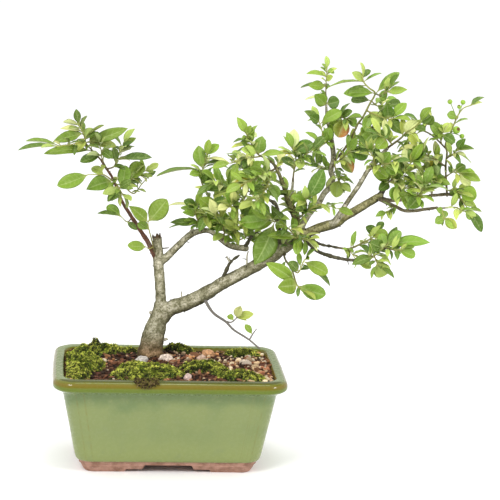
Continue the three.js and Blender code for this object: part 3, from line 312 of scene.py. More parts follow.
class Recipe:
    """Writes the nodes of one material, or of the room, in few lines."""

    def __init__(self, owner: Union[str, bpy.types.World]) -> None:
        """Starts a new material of this name, or the given room.

        Args:
            owner: the material's name, or the room.
        """
        self.owner = bpy.data.materials.new(owner) if isinstance(owner, str) else owner
        self.owner.use_nodes = True
        self.tree = self.owner.node_tree

    def put(self, socket: Socket, value: object) -> None:
        """Feeds a socket.

        Args:
            socket: the input.
            value: a socket to link to it, or else a value or a colour.
        """
        if isinstance(value, Socket):
            self.tree.links.new(value, socket)
        else:
            socket.default_value = (*value, 1.0) if socket.type == "RGBA" else value

    def feed(self, node: str, inputs: dict) -> None:
        """Feeds one of the nodes that a new material or room already has."""
        for name, value in inputs.items():
            self.put(self.tree.nodes[node].inputs[name], value)

    def node(
        self, kind: str, inputs: Union[dict, None] = None, out: Union[int, str] = 0, **settings: object
    ) -> Socket:
        """Adds a node.

        Args:
            kind: Blender's name for it, without its first words.
            inputs: what goes in: a socket is linked, any other value is set.
            out: which output to give back.
            settings: its own options.

        Returns:
            One of its output sockets.
        """
        made = self.tree.nodes.new("ShaderNode" + kind)
        for key, value in settings.items():
            setattr(made, key, value)
        for key, value in (inputs or {}).items():
            self.put(made.inputs[key], value)
        return made.outputs[out]

    def here(self) -> Socket:
        """Gives the place on the object, in metres."""
        return self.node("TexCoord", out="Object")

    def tint(self) -> Socket:
        """Gives the colour that the mesh carries."""
        return self.node("VertexColor", layer_name="tint", out="Color")

    def noise(self, size: float, detail: float = 3.0, rough: float = 0.55) -> Socket:
        """Gives soft noise with bumps this many millimetres apart."""
        inputs = {"Vector": self.here(), "Scale": 1 / (size * MM), "Detail": detail, "Roughness": rough}
        return self.node("TexNoise", inputs)

    def cells(self, size: float, feature: str = "F1") -> Socket:
        """Gives the distance to scattered centres this many millimetres apart."""
        inputs = {"Vector": self.here(), "Scale": 1 / (size * MM)}
        return self.node("TexVoronoi", inputs, feature=feature, out="Distance")

    def sums(self, kind: str, a: object, b: object = 0.0, clamp: bool = False) -> Socket:
        """Works out one sum from two values."""
        return self.node("Math", {0: a, 1: b}, operation=kind, use_clamp=clamp)

    def rise(self, value: Socket, low: float, high: float) -> Socket:
        """Rises smoothly from 0 at low to 1 at high."""
        inputs = {"Value": value, "From Min": low, "From Max": high}
        return self.node("MapRange", inputs, interpolation_type="SMOOTHSTEP")

    def mix(self, share: object, a: object, b: object, kind: str = "MIX") -> Socket:
        """Gives the colour at this share of the way from a to b, or mixed in another kind of way."""
        return self.node("Mix", {0: share, 6: a, 7: b}, out=2, data_type="RGBA", blend_type=kind)

    def bump(self, height: Socket, deep: float, strength: float = 1.0) -> None:
        """Raises the surface by this height map, which is so many millimetres deep."""
        inputs = {"Height": height, "Distance": deep * MM, "Strength": strength}
        self.feed("Principled BSDF", {"Normal": self.node("Bump", inputs)})

    def done(
        self, colour: object, rough: object, specular: float, coat: float = 0.0, coat_rough: float = 0.1
    ) -> Material:
        """Sets the shader.

        Args:
            colour: a colour or socket.
            rough: the roughness, a value or socket.
            specular: the strength of its reflections.
            coat: the weight of a clear coat.
            coat_rough: the coat's own roughness.

        Returns:
            The finished material.
        """
        self.feed("Principled BSDF", {
            "Base Color": colour, "Roughness": rough, "Specular IOR Level": specular,
            "Coat Weight": coat, "Coat Roughness": coat_rough,
        })
        return self.owner


@dataclass(frozen=True)
class Glaze:
    """Sage green glaze: bluer under the lip, and broken to brown where it runs thin."""

    sage: Colour = linear("7a8551")
    low: Colour = linear("828c54")
    blue: Colour = linear("657648")
    olive: Colour = linear("5a6a10")
    grey: Colour = linear("77825a")
    brown: Colour = linear("6c6018")
    front: Colour = linear("50542c")
    name: str = "glaze"
    specular: float = 0.1
    coat: float = 0.55
    ripple: float = 0.2

    def make(self) -> Material:
        """Builds the material.

        Returns:
            The finished material.
        """
        r = Recipe(self.name)
        height = r.node("SeparateXYZ", {0: r.here()}, out="Z")
        depth = r.node("SeparateXYZ", {0: r.here()}, out="Y")
        place = r.node("SeparateXYZ", {0: r.node("UVMap", uv_map="place")}, out="X")
        clouds = r.noise(26, 4)
        drift = r.sums("ADD", height, r.sums("MULTIPLY", r.sums("SUBTRACT", clouds, 0.5), 0.030))
        body = r.mix(r.rise(clouds, 0.42, 0.68), self.sage, fade(0.25, self.sage, self.blue))
        body = r.mix(r.rise(height, 0.042, 0.012), body, self.low)
        body = r.mix(r.rise(drift, 0.057, 0.070), body, self.blue)
        body = r.mix(r.rise(r.noise(9, 3), 0.5, 0.85), body, fade(0.3, self.sage, self.grey))
        fine = r.noise(3.2, 4)
        for middle, half, weight in ((1.35, 0.14, 0.5), (0.7, 0.12, 0.42)):
            away = r.sums("ABSOLUTE", r.sums("SUBTRACT", r.sums("ABSOLUTE", place), middle))
            line = r.rise(away, half, 0.0)
            broken = r.sums("MULTIPLY", line, r.rise(fine, 0.35, 0.7))
            body = r.mix(r.sums("MULTIPLY", broken, weight), body, self.brown)
        lip = r.mix(r.rise(height, 0.0772, 0.0792), body, self.olive)
        worn = r.sums("ADD", height, r.sums("MULTIPLY", r.sums("SUBTRACT", fine, 0.5), 0.0014))
        lip = r.mix(r.rise(worn, 0.0806, 0.0836), lip, self.brown)
        lip = r.mix(r.rise(worn, 0.0848, 0.0860), lip, fade(0.5, self.olive, self.brown))
        front = r.rise(depth, float(HOME[1]) - 0.0575, float(HOME[1]) - 0.0605)
        top = r.mix(r.rise(worn, 0.0862, 0.0870), lip, r.mix(front, self.grey, self.front))
        speck = r.rise(r.cells(5.5), 0.07, 0.03)
        colour = r.mix(r.sums("MULTIPLY", speck, 0.2), top, fade(0.4, self.brown, self.grey))
        r.bump(r.sums("ADD", clouds, r.sums("MULTIPLY", fine, 0.05)), 0.5, self.ripple)
        rough = r.node("MapRange", {"Value": fine, "To Min": 0.2, "To Max": 0.34})
        return r.done(colour, rough, self.specular, self.coat, 0.035)


@dataclass(frozen=True)
class Clay:
    """Bare fired clay, warm and slightly pink, with fine grog."""

    warm: Colour = linear("b08877")
    dark: Colour = linear("8a6654")

    def make(self) -> Material:
        """Builds the material.

        Returns:
            The finished material.
        """
        r = Recipe("clay")
        fine = r.noise(1.4, 6, 0.7)
        colour = r.mix(r.rise(r.noise(7, 3), 0.35, 0.7), self.warm, self.dark)
        colour = r.mix(r.rise(fine, 0.55, 0.75), colour, fade(0.25, self.warm, (1, 1, 1)))
        r.bump(fine, 0.4, 0.6)
        return r.done(colour, 0.9, 0.25)


@dataclass(frozen=True)
class Tinted:
    """A finish that takes its colour from the mesh and adds grain at its own scale."""

    name: str
    size: float
    contrast: float
    rough: float
    deep: float
    specular: float = 0.3

    def make(self) -> Material:
        """Builds the material.

        Returns:
            The finished material.
        """
        r = Recipe(self.name)
        fine = r.noise(self.size, 5, 0.65)
        shade = r.node("MapRange", {"Value": fine, "To Min": 1 - self.contrast, "To Max": 1 + self.contrast})
        grey = r.node("CombineColor", {0: shade, 1: shade, 2: shade})
        colour = r.mix(1.0, r.tint(), grey, "MULTIPLY")
        r.bump(fine, self.deep)
        return r.done(colour, self.rough, self.specular)


@dataclass(frozen=True)
class Bark:
    """Smooth grey-olive bark, mottled with lichen and pores, with painted shadow in its fine cracks."""

    lichen: Colour = linear("b0ac8e")
    shadow: Colour = linear("3a3325")

    def make(self) -> Material:
        """Builds the material.

        Returns:
            The finished material.
        """
        r = Recipe("bark")
        patch = r.noise(5.5, 5, 0.6)
        fine = r.noise(1.1, 6, 0.7)
        colour = r.mix(r.sums("MULTIPLY", r.rise(patch, 0.52, 0.7), 0.22), r.tint(), self.lichen)
        # Painted shadow: darker where the fine noise is low, in the cracks of the bump
        colour = r.mix(r.sums("MULTIPLY", r.rise(fine, 0.5, 0.34), 0.7), colour, self.shadow)
        pores = r.rise(r.cells(2.3), 0.2, 0.1)
        colour = r.mix(r.sums("MULTIPLY", pores, 0.25), colour, fade(0.25, self.shadow, self.lichen))
        r.bump(r.sums("SUBTRACT", r.sums("ADD", patch, fine), r.sums("MULTIPLY", pores, 0.35)), 0.7, 0.8)
        return r.done(colour, 0.82, 0.25)


@dataclass(frozen=True)
class LeafSkin:
    """A leaf's skin: its own tint, a pale midrib, side veins and a soft wax."""

    pale: Colour = linear("b3c47c")

    def make(self) -> Material:
        """Builds the material.

        Returns:
            The finished material.
        """
        r = Recipe("leaf_skin")
        split = r.node("UVMap", uv_map="place")
        across = r.sums("ABSOLUTE", r.node("SeparateXYZ", {0: split}, out="X"))
        along = r.node("SeparateXYZ", {0: split}, out="Y")
        rib = r.rise(across, 0.11, 0.02)
        slant = r.sums("SUBTRACT", along, r.sums("MULTIPLY", across, 0.16))
        wave = r.sums("SINE", r.sums("MULTIPLY", slant, 46.0))
        veins = r.sums("MULTIPLY", r.rise(wave, 0.72, 1.0), r.rise(across, 1.0, 0.5))
        blotch = r.noise(3.0, 4)
        colour = r.mix(r.sums("MULTIPLY", r.rise(blotch, 0.5, 0.75), 0.25), r.tint(), self.pale)
        colour = r.mix(r.sums("MULTIPLY", veins, 0.14), colour, self.pale)
        colour = r.mix(r.sums("MULTIPLY", rib, 0.38), colour, self.pale)
        height = r.sums("SUBTRACT", blotch, r.sums("ADD", r.sums("MULTIPLY", veins, 0.5), rib))
        r.bump(height, 0.25, 0.6)
        return r.done(colour, 0.42, 0.32)


@dataclass(frozen=True)
class Screen:
    """Dull black plastic mesh."""

    def make(self) -> Material:
        """Builds the material.

        Returns:
            The finished material.
        """
        r = Recipe("screen_plastic")
        fine = r.noise(0.8, 4)
        r.bump(fine, 0.1, 0.4)
        return r.done(r.mix(fine, (0.014, 0.014, 0.014), (0.03, 0.03, 0.03)), 0.55, 0.4)


@dataclass(frozen=True)
class Outline:
    """A rectangle with round corners, run anticlockwise from the start of its back right corner."""

    half_width: float
    half_depth: float
    corner: float
    # How many faces each corner and each straight side has
    steps: int = 16
    run: int = 18

    def arc(self, quarter: int, turns: Sequence[float]) -> list[tuple[float, float]]:
        """Draws one corner.

        Args:
            quarter: its number in order.
            turns: the angles of its points, in radians.

        Returns:
            Its points.
        """
        x = (self.half_width - self.corner) * (1, -1, -1, 1)[quarter]
        y = (self.half_depth - self.corner) * (1, 1, -1, -1)[quarter]
        return [(x + self.corner * math.cos(turn), y + self.corner * math.sin(turn)) for turn in turns]

    def ring(self, z: float) -> Rows:
        """Draws it whole.

        Args:
            z: its height.

        Returns:
            Its points.
        """
        points = []
        for quarter in range(4):
            turns = [(quarter + k / self.steps) * math.pi / 2 for k in range(self.steps + 1)]
            points.extend(self.arc(quarter, turns))
            x, y = points[-1]
            end_x, end_y = self.arc((quarter + 1) % 4, turns[-1:])[0]
            for k in range(1, self.run):
                points.append((x + (end_x - x) * k / self.run, y + (end_y - y) * k / self.run))
        return np.array([(*point, z) for point in points])

    def places(self) -> Rows:
        """Says how far each point lies from the middle of its nearest corner.

        Returns:
            -1 to 1 within a corner, and past it 1 more for each 10 mm along the straight side.
        """
        places = []
        for quarter in range(4):
            places.extend(-1 + 2 * k / self.steps for k in range(self.steps + 1))
            side = 2 * ((self.half_width if quarter % 2 == 0 else self.half_depth) - self.corner)
            steps = (side * k / self.run for k in range(1, self.run))
            places.extend(1 + min(step, side - step) / 10 for step in steps)
        return np.array(places)


def bowed(points: Rows, bow: float = 0.013, half_depth: float = 70.0) -> Rows:
    """Lets the pot's short sides bow out at their middle by this share, up to where they end along Y."""
    share = 1 + bow * np.clip(1 - (points[:, 1] / half_depth) ** 2, 0, 1)
    return points * np.column_stack([share, np.ones((len(points), 2))])


@dataclass
class Pot:
    """The glazed pot: body, rolled lip, walls, floor with its drain holes, and four bare clay feet."""

    half_width: float = 100.5
    half_depth: float = 70.0
    opening_width: float = 91.5
    opening_depth: float = 59.0
    rim: float = 87.2
    floor_top: float = 17.0
    drain_radius: float = 7.0
    drain_offset: float = 42.0
    # Each level is height, inset from the rim's outline and corner radius
    base: tuple = (
        (7.5, 23.8, 12), (9.9, 23.6, 12), (10.3, 23.1, 12.1), (10.7, 22, 12.3), (12.2, 20.9, 12.4),
        (15.5, 19.8, 12.5),
    )
    outside: tuple = (
        (71.5, 9, 14.5), (75, 7.2, 15), (76.4, 3.6, 16.5), (78.6, 0.7, 17.7), (81.2, 0, 18),
        (84, 0.5, 17.8), (86, 1.9, 17), (87.2, 4.6, 15.2),
    )
    inside: tuple = ((17, 19, 8), (74, 6.6, 10.5), (84.6, 1.0, 12.4), (86.8, 0.4, 12.8))
    inner_lip: tuple = (0.5, 13.2)
    foot_inset: float = 23.6
    foot_corner: float = 12.0
    foot_wall: float = 13.0
    foot_top: float = 8.0
    foot_taper: float = 4.5
    arch: float = 7.0
    step: float = 2.6
    long_arch: tuple = (21.0, 37.0)
    short_arch: tuple = (8.0, 16.0)
    slant: float = 1.8
    # The clay is bare up to the first height, and the flat top of the rim shines less from the second
    bare_to: float = 10.2
    dull_from: float = 86.7
    # How far the hand-made walls stray, how rough the feet are, and how much of a side its corner takes
    sway: float = 0.35
    foot_sway: float = 0.18
    corner_reach: float = 20.0

    def levels(self) -> list[tuple[float, float, float, float]]:
        """Lists the rings of the body's skin, up the outside and down the inside.

        Returns:
            Rows of half width, half depth, corner and height.
        """
        outer = smooth_line(self.outside, 0.8)
        foot = smooth_line(self.base, 0.8)
        wall = [foot[-1] + (outer[0] - foot[-1]) * k / 12 for k in range(1, 12)]
        made = [
            (self.half_width - inset, self.half_depth - inset, corner, z)
            for z, inset, corner in [*foot, *wall, *outer]
        ]
        wider, corner = self.inner_lip
        edge = made[-1]
        mouth = (self.opening_width + wider, self.opening_depth + wider, corner, self.rim - 0.05)
        made.extend(tuple(a + (b - a) * share for a, b in zip(edge, mouth)) for share in (0.35, 0.7, 1.0))
        made.extend(
            (self.opening_width - inset, self.opening_depth - inset, corner, z)
            for z, inset, corner in reversed(self.inside)
        )
        return made

    def body(self) -> Piece:
        """Builds the glazed body with its drain holes.

        Returns:
            The body: glazed, with a dull rim and bare clay below.
        """
        levels = self.levels()
        rings = [Outline(*sizes).ring(z) for *sizes, z in levels]
        points = np.vstack(rings)
        across = Outline(self.half_width, self.half_depth, self.corner_reach).places()
        out = points * [1, 1, 0]
        out /= np.maximum(np.linalg.norm(out, axis=1), 1)[:, None]
        points = bowed(points + out * (grain(points, 60, 3) * self.sway)[:, None])
        place = np.column_stack([np.tile(across, len(levels)), points[:, 2] / 10])
        draft = Draft()
        draft.add(points, loft(rings), place=place)
        rim = Glaze(name="glaze_rim", specular=0.05, coat=0.0, ripple=0.05)
        piece = draft.build("pot_body", [Glaze().make(), rim.make(), Clay().make()])
        for side in (-1, 1):
            self.drill(piece, side * self.drain_offset)
        for face in piece.data.polygons:
            z = face.center.z / MM
            face.material_index = 2 if z < self.bare_to else int(z > self.dull_from)
        return piece

    def drill(self, piece: Piece, x: float) -> None:
        """Cuts one drain hole through the floor.

        Args:
            piece: the body.
            x: the hole's place along X.
        """
        turns = np.arange(32) * math.pi / 16
        low = self.drain_radius * np.column_stack([np.cos(turns), np.sin(turns), 0 * turns]) + [x, 0, 2]
        high = low + UP * (self.floor_top + 3)
        draft = Draft()
        draft.add(np.vstack([low, high]), loft([low, high]))
        cutter = draft.build("drill", [])
        cut = piece.modifiers.new("drain", "BOOLEAN")
        cut.object = cutter
        cut.operation = "DIFFERENCE"
        cut.solver = "EXACT"
        apply_modifiers(piece)
        bpy.data.objects.remove(cutter)

    def feet(self) -> Piece:
        """Builds the ring of four feet with its stepped arches.

        Returns:
            The feet, in bare clay.
        """
        sections = [self.foot_section(spot) for spot in self.foot_outline()]
        points = np.vstack(sections)
        skin = loft([*sections, sections[0]], close_ends=False)
        faces = [tuple(corner % len(points) for corner in reversed(face)) for face in skin]
        rough = np.column_stack([grain(points, 9, s, 3) for s in (1, 2, 3)]) * [1, 1, 0]
        points = points + self.foot_sway * rough
        draft = Draft()
        draft.add(points, faces)
        return draft.build("pot_feet", [Clay().make()])

    def foot_outline(self) -> list[tuple]:
        """Walks round the feet.

        Returns:
            Rows of x, y, inner x, inner y and whether the place belongs to a long side.
        """
        width, depth = self.half_width - self.foot_inset, self.half_depth - self.foot_inset
        inner_width, inner_depth = width - self.foot_wall, depth - self.foot_wall
        inner_corner = self.foot_corner - self.foot_wall / 2
        outside = Outline(width, depth, self.foot_corner)
        inside = Outline(inner_width, inner_depth, inner_corner)
        long_side = self.along_side(inner_width - inner_corner - 1, 41, self.long_arch)
        short_side = self.along_side(inner_depth - inner_corner - 1, 19, self.short_arch)
        walk = []
        for quarter, sign in enumerate((1, -1, -1, 1)):
            turns = np.linspace(0, math.pi / 2, 9) + quarter * math.pi / 2
            for turn, place, inner in zip(turns, outside.arc(quarter, turns), inside.arc(quarter, turns)):
                walk.append((*place, *inner, abs(math.sin(turn)) > abs(math.cos(turn))))
            if quarter in (0, 2):
                walk.extend((-sign * x, sign * depth, -sign * x, sign * inner_depth, True) for x in long_side)
            else:
                walk.extend((sign * width, sign * y, sign * inner_width, sign * y, False) for y in short_side)
        return walk

    def along_side(self, reach: float, count: int, arch: tuple[float, float]) -> Rows:
        """Lists places along a side, closer together at the arch's steps so that these come out crisp.

        Args:
            reach: how far they run each way from the side's middle.
            count: how many even places there are.
            arch: where the steps lie.

        Returns:
            The places, in order.
        """
        shifts = np.array([-1.4, -0.9, -0.4, 0.0, 0.4, 0.9, 1.4]) * self.slant * 0.8
        near = [side * (edge + shifts) for edge in arch for side in (-1, 1)]
        return np.unique(np.concatenate([np.linspace(-reach, reach, count), *near]))

    def foot_section(self, spot: tuple) -> Rows:
        """Draws the wall of the feet at one place.

        Args:
            spot: its row of the outline.

        Returns:
            Its points: outside down, underneath, and inside up.
        """
        x, y, inner_x, inner_y, front = spot
        away = abs(x) if front else abs(y)
        high, low = self.long_arch if front else self.short_arch
        gap = self.step * float(step_up(away, low + self.slant * 0.6, low - self.slant * 0.4))
        raised = float(step_up(away, high + self.slant, high - self.slant * 0.6))
        gap = gap + (self.arch - self.step) * raised
        outer, inner = np.array([x, y, 0.0]), np.array([inner_x, inner_y, 0.0])
        inward = unit(inner - outer)
        rows = []
        for share in (1.0, 0.75, 0.5, 0.25, 0.08, 0.0):
            z = gap + (self.foot_top - gap) * share
            drawn = self.foot_taper * (1 - z / self.foot_top) + 0.5 * (1 - share) ** 6
            rows.append(outer + inward * drawn + UP * z)
        for share in (0.0, 0.3, 1.0):
            z = gap + (self.foot_top - gap) * share
            rows.append(inner - inward * (1 - z / self.foot_top) + UP * z)
        return np.array(rows)

    def build(self) -> None:
        """Builds the pot and hands it over."""
        hand_over(self.body(), "glaze", "pot")
        hand_over(self.feet(), "glaze", "pot")


def apply_modifiers(piece: Piece) -> None:
    """Bakes modifiers into a mesh.

    Args:
        piece: the object that has them.
    """
    shown = piece.evaluated_get(bpy.context.evaluated_depsgraph_get())
    mesh, old = bpy.data.meshes.new_from_object(shown), piece.data
    piece.modifiers.clear()
    piece.data = mesh
    bpy.data.meshes.remove(old)


class Bit(Enum):
    """What lies loose on the soil: its shape and the colours that it comes in."""

    STONE = (1.0, 0.78, 0.66), ("cfb189", "bd9b72", "dec9a6", "bb875a", "e6d6b8", "a98f70", "a66f50")
    BARK = (1.7, 0.75, 0.4), ("643f28", "785034", "4f3120", "8c6040")
    DARK = (1.0, 0.78, 0.66), ("332216", "422b1c", "2a1d13")


@dataclass
class Soil:
    """The soil's own surface, the grit and the bark bits that lie in it."""

    edge: float = 83.6
    rise: float = 2.2
    flare: float = 1.6
    flare_reach: float = 20.5
    ripple: float = 0.6
    trunk: tuple = (-14.0, 29.0)
    half_width: float = 90.3
    half_depth: float = 57.8
    corner: float = 12.6
    bottom: float = 79.0
    dark: Colour = linear("2e1d15")
    light: Colour = linear("70483a")
    # How many bits are tried, and how far past the mouth's straight sides they may lie in its corners
    tries: int = 2100
    bit_reach: float = 11.0
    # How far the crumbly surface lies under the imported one, and how high its large and small bumps are
    under: float = 0.5
    bumps: tuple = (0.75, 0.35)

    def height(self, x: Rows, y: Rows) -> Rows:
        """Gives the soil's height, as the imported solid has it.

        Args:
            x: places along X.
            y: places along Y.

        Returns:
            The heights there.
        """
        fall = (x / 92) ** 2 * 0.75 + (y / 60) ** 2 * 0.9
        near = ((x - self.trunk[0]) ** 2 + (y - self.trunk[1]) ** 2) / self.flare_reach ** 2
        waves = np.sin(x * 0.21 + y * 0.13) + np.sin(y * 0.27 - x * 0.11 + 1.3)
        dome = self.rise * np.maximum(0, 1 - fall) + self.flare * np.exp(-near)
        return self.edge + dome + self.ripple * waves * 0.5

    def cornered(self, x: Rows, y: Rows) -> Rows:
        """Gives how far places lie past the ends of the mouth's straight sides, which is in a corner."""
        return np.hypot(np.maximum(0, np.abs(x) - 78), np.maximum(0, np.abs(y) - 45.5))

    def ground(self) -> Piece:
        """Builds the crumbly surface over the soil's form.

        Returns:
            The surface, with a wall round it.
        """
        sizes = self.half_width, self.half_depth, self.corner
        shares = np.linspace(0.02, 1.0, 62)
        rings = [Outline(*(size * share for size in sizes), 14, 44).ring(0.0) for share in shares]
        points = np.vstack(rings)
        points[:, 2] = self.height(points[:, 0], points[:, 1]) - self.under
        crumbs = grain(points, 5.0, 5, 4)
        points[:, 2] += self.bumps[0] * crumbs + self.bumps[1] * grain(points, 1.6, 6)
        wall = rings[-1].copy()
        wall[:, 2] = self.bottom
        tint = fade(step_up(crumbs, -0.5, 0.7)[:, None], self.dark, self.light)
        tint = np.vstack([tint, np.tile(self.dark, (len(wall), 1))])
        draft = Draft()
        faces = [tuple(reversed(face)) for face in loft([*rings, wall])]
        draft.add(bowed(np.vstack([points, wall])), faces, tint)
        return draft.build("soil_surface", [Tinted("soil_earth", 1.6, 0.45, 0.95, 0.6, 0.15).make()])

    def bit_at(self, x: float, y: float, draw: float) -> Bit:
        """Says what lies at a place.

        Args:
            x: its place along X.
            y: its place along Y.
            draw: a random value from 0 to 1.

        Returns:
            The kind of bit.
        """
        stone, bark, dark = Bit.STONE, Bit.BARK, Bit.DARK
        if x > 68:
            return stone if draw < 0.72 else bark
        if y < -45:
            return bark if draw < 0.62 else (stone if draw < 0.78 else dark)
        if x > 2 and y > -8:
            return stone if draw < 0.42 else (bark if draw < 0.7 else dark)
        if x > 20:
            return dark if draw < 0.5 else (bark if draw < 0.8 else stone)
        return bark if draw < 0.3 else (stone if draw < 0.42 else dark)

    def bits(self) -> Piece:
        """Scatters the grit and bark bits over the soil.

        Returns:
            One piece that holds them all.
        """
        draws = np.random.default_rng(20)
        draft = Draft()
        for _ in range(self.tries):
            x, y = draws.uniform(-88, 88), draws.uniform(-56, 56)
            shape, colours = self.bit_at(x, y, draws.random()).value
            size = draws.gamma(5.0, 0.27) * (1.25 if x > 68 else 1.0)
            turn, lean = draws.uniform(0, 6.28), draws.normal(0, 0.35, 2)
            colour = np.array(linear(colours[draws.integers(len(colours))]))
            if self.cornered(x, y) > self.bit_reach:
                continue
            points, faces = chip(np.array(shape) * size, turn, lean, draws)
            shade = 0.6 + 0.62 * draws.random()
            draft.add(points + [x, y, self.height(x, y) + 0.25 * size], faces, colour * shade)
        return draft.build("soil_grit", [Tinted("grit", 0.9, 0.35, 0.85, 0.3).make()], smooth=False)

    def build(self) -> None:
        """Builds the soil and hands it over."""
        hand_over(self.ground(), "soil", "soil")
        hand_over(self.bits(), "stone_warm", "soil")


ICO: dict[int, tuple[Rows, Faces]] = {}


def ico(level: int) -> tuple[Rows, Faces]:
    """Makes a ball of even triangles, once for each level.

    Args:
        level: how many times it is divided.

    Returns:
        Its corners and faces.
    """
    if level not in ICO:
        ball = bmesh.new()
        bmesh.ops.create_icosphere(ball, subdivisions=level, radius=1.0)
        points = np.array([v.co[:] for v in ball.verts])
        ICO[level] = (points, [tuple(v.index for v in f.verts) for f in ball.faces])
        ball.free()
    return ICO[level]


def chip(radii: Rows, turn: float, lean: Rows, draws: Draw) -> tuple[Rows, Faces]:
    """Makes one crushed bit with flat broken sides, about its own middle.

    Args:
        radii: half its size along its own axes.
        turn: its heading, in radians.
        lean: its tilt about X and Y, in radians.
        draws: the seeded draws.

    Returns:
        Its corners and faces.
    """
    ball, faces = ico(2 if max(radii) > 1.1 else 1)
    points = ball * 1.12
    for _ in range(6):
        side = unit(draws.normal(0, 1, 3))
        over = np.maximum(0, points @ side - draws.uniform(0.5, 0.85))
        points = points - over[:, None] * side
    spin = Matrix.Rotation(turn, 3, "Z") @ Matrix.Rotation(lean[0], 3, "X") @ Matrix.Rotation(lean[1], 3, "Y")
    return (points * radii) @ np.array(spin).T, faces


@dataclass
class Stones:
    """The six larger stones that stand out of the soil."""

    soil: Soil
    # Each stone is its place, half sizes, turn in degrees, slot and colour
    stones: tuple = (
        ("stone_pale_front", -23, 9, 6, 4.6, 3.8, 20, "stone_pale", "b9b2aa"),
        ("stone_white_right", -2, 14, 6.4, 4.4, 4.2, 8, "stone_pale", "dccabb"),
        ("stone_orange", 38, 37, 6, 4.4, 4, 0, "stone_warm", "c4946b"),
        ("stone_cream", 30, 20, 4.4, 3.4, 3.4, 40, "stone_warm", "cdb09c"),
        ("stone_grey_right", 69, 6, 5.4, 4.2, 3.4, 10, "stone_grey", "c4b3a0"),
        ("stone_mauve", 15, -43, 4.6, 3.4, 3.6, 70, "stone_grey", "c9b0a6"),
    )

    def build(self) -> None:
        """Builds the stones and hands them over."""
        finish = Tinted("pebble", 1.4, 0.22, 0.7, 0.4).make()
        for number, (name, x, y, a, b, c, turn, slot, code) in enumerate(self.stones):
            ball, faces = ico(5)
            lumpy = ball * (1 + 0.3 * grain(ball, 1.1, 40 + number))[:, None]
            points = (lumpy * [a, b, c]) @ np.array(Matrix.Rotation(math.radians(turn), 3, "Z")).T
            ridges = np.abs(grain(points, 3.2, 50 + number, 3))
            points = points * (1.02 - 0.16 * ridges)[:, None]
            tone = (0.72 + 0.5 * step_up(ridges, 0.0, 0.45))[:, None]
            place = [x, y, self.soil.height(x, y) + c * 0.25]
            draft = Draft()
            draft.add(points + place, faces, np.array(linear(code)) * tone)
            hand_over(draft.build(name + "_fine", [finish]), slot, name)


@dataclass(frozen=True)
class Lattice:
    """The places of one moss patch, in even rows and columns."""

    x: Rows
    y: Rows
    z: Rows
    # How high each place lies over the soil, and whether it is part of the patch
    lift: Rows
    kept: Rows
    shape: tuple[int, int]

    def places(self) -> Rows:
        """Gives all places as rows of x, y and z."""
        return np.column_stack([self.x, self.y, self.z])


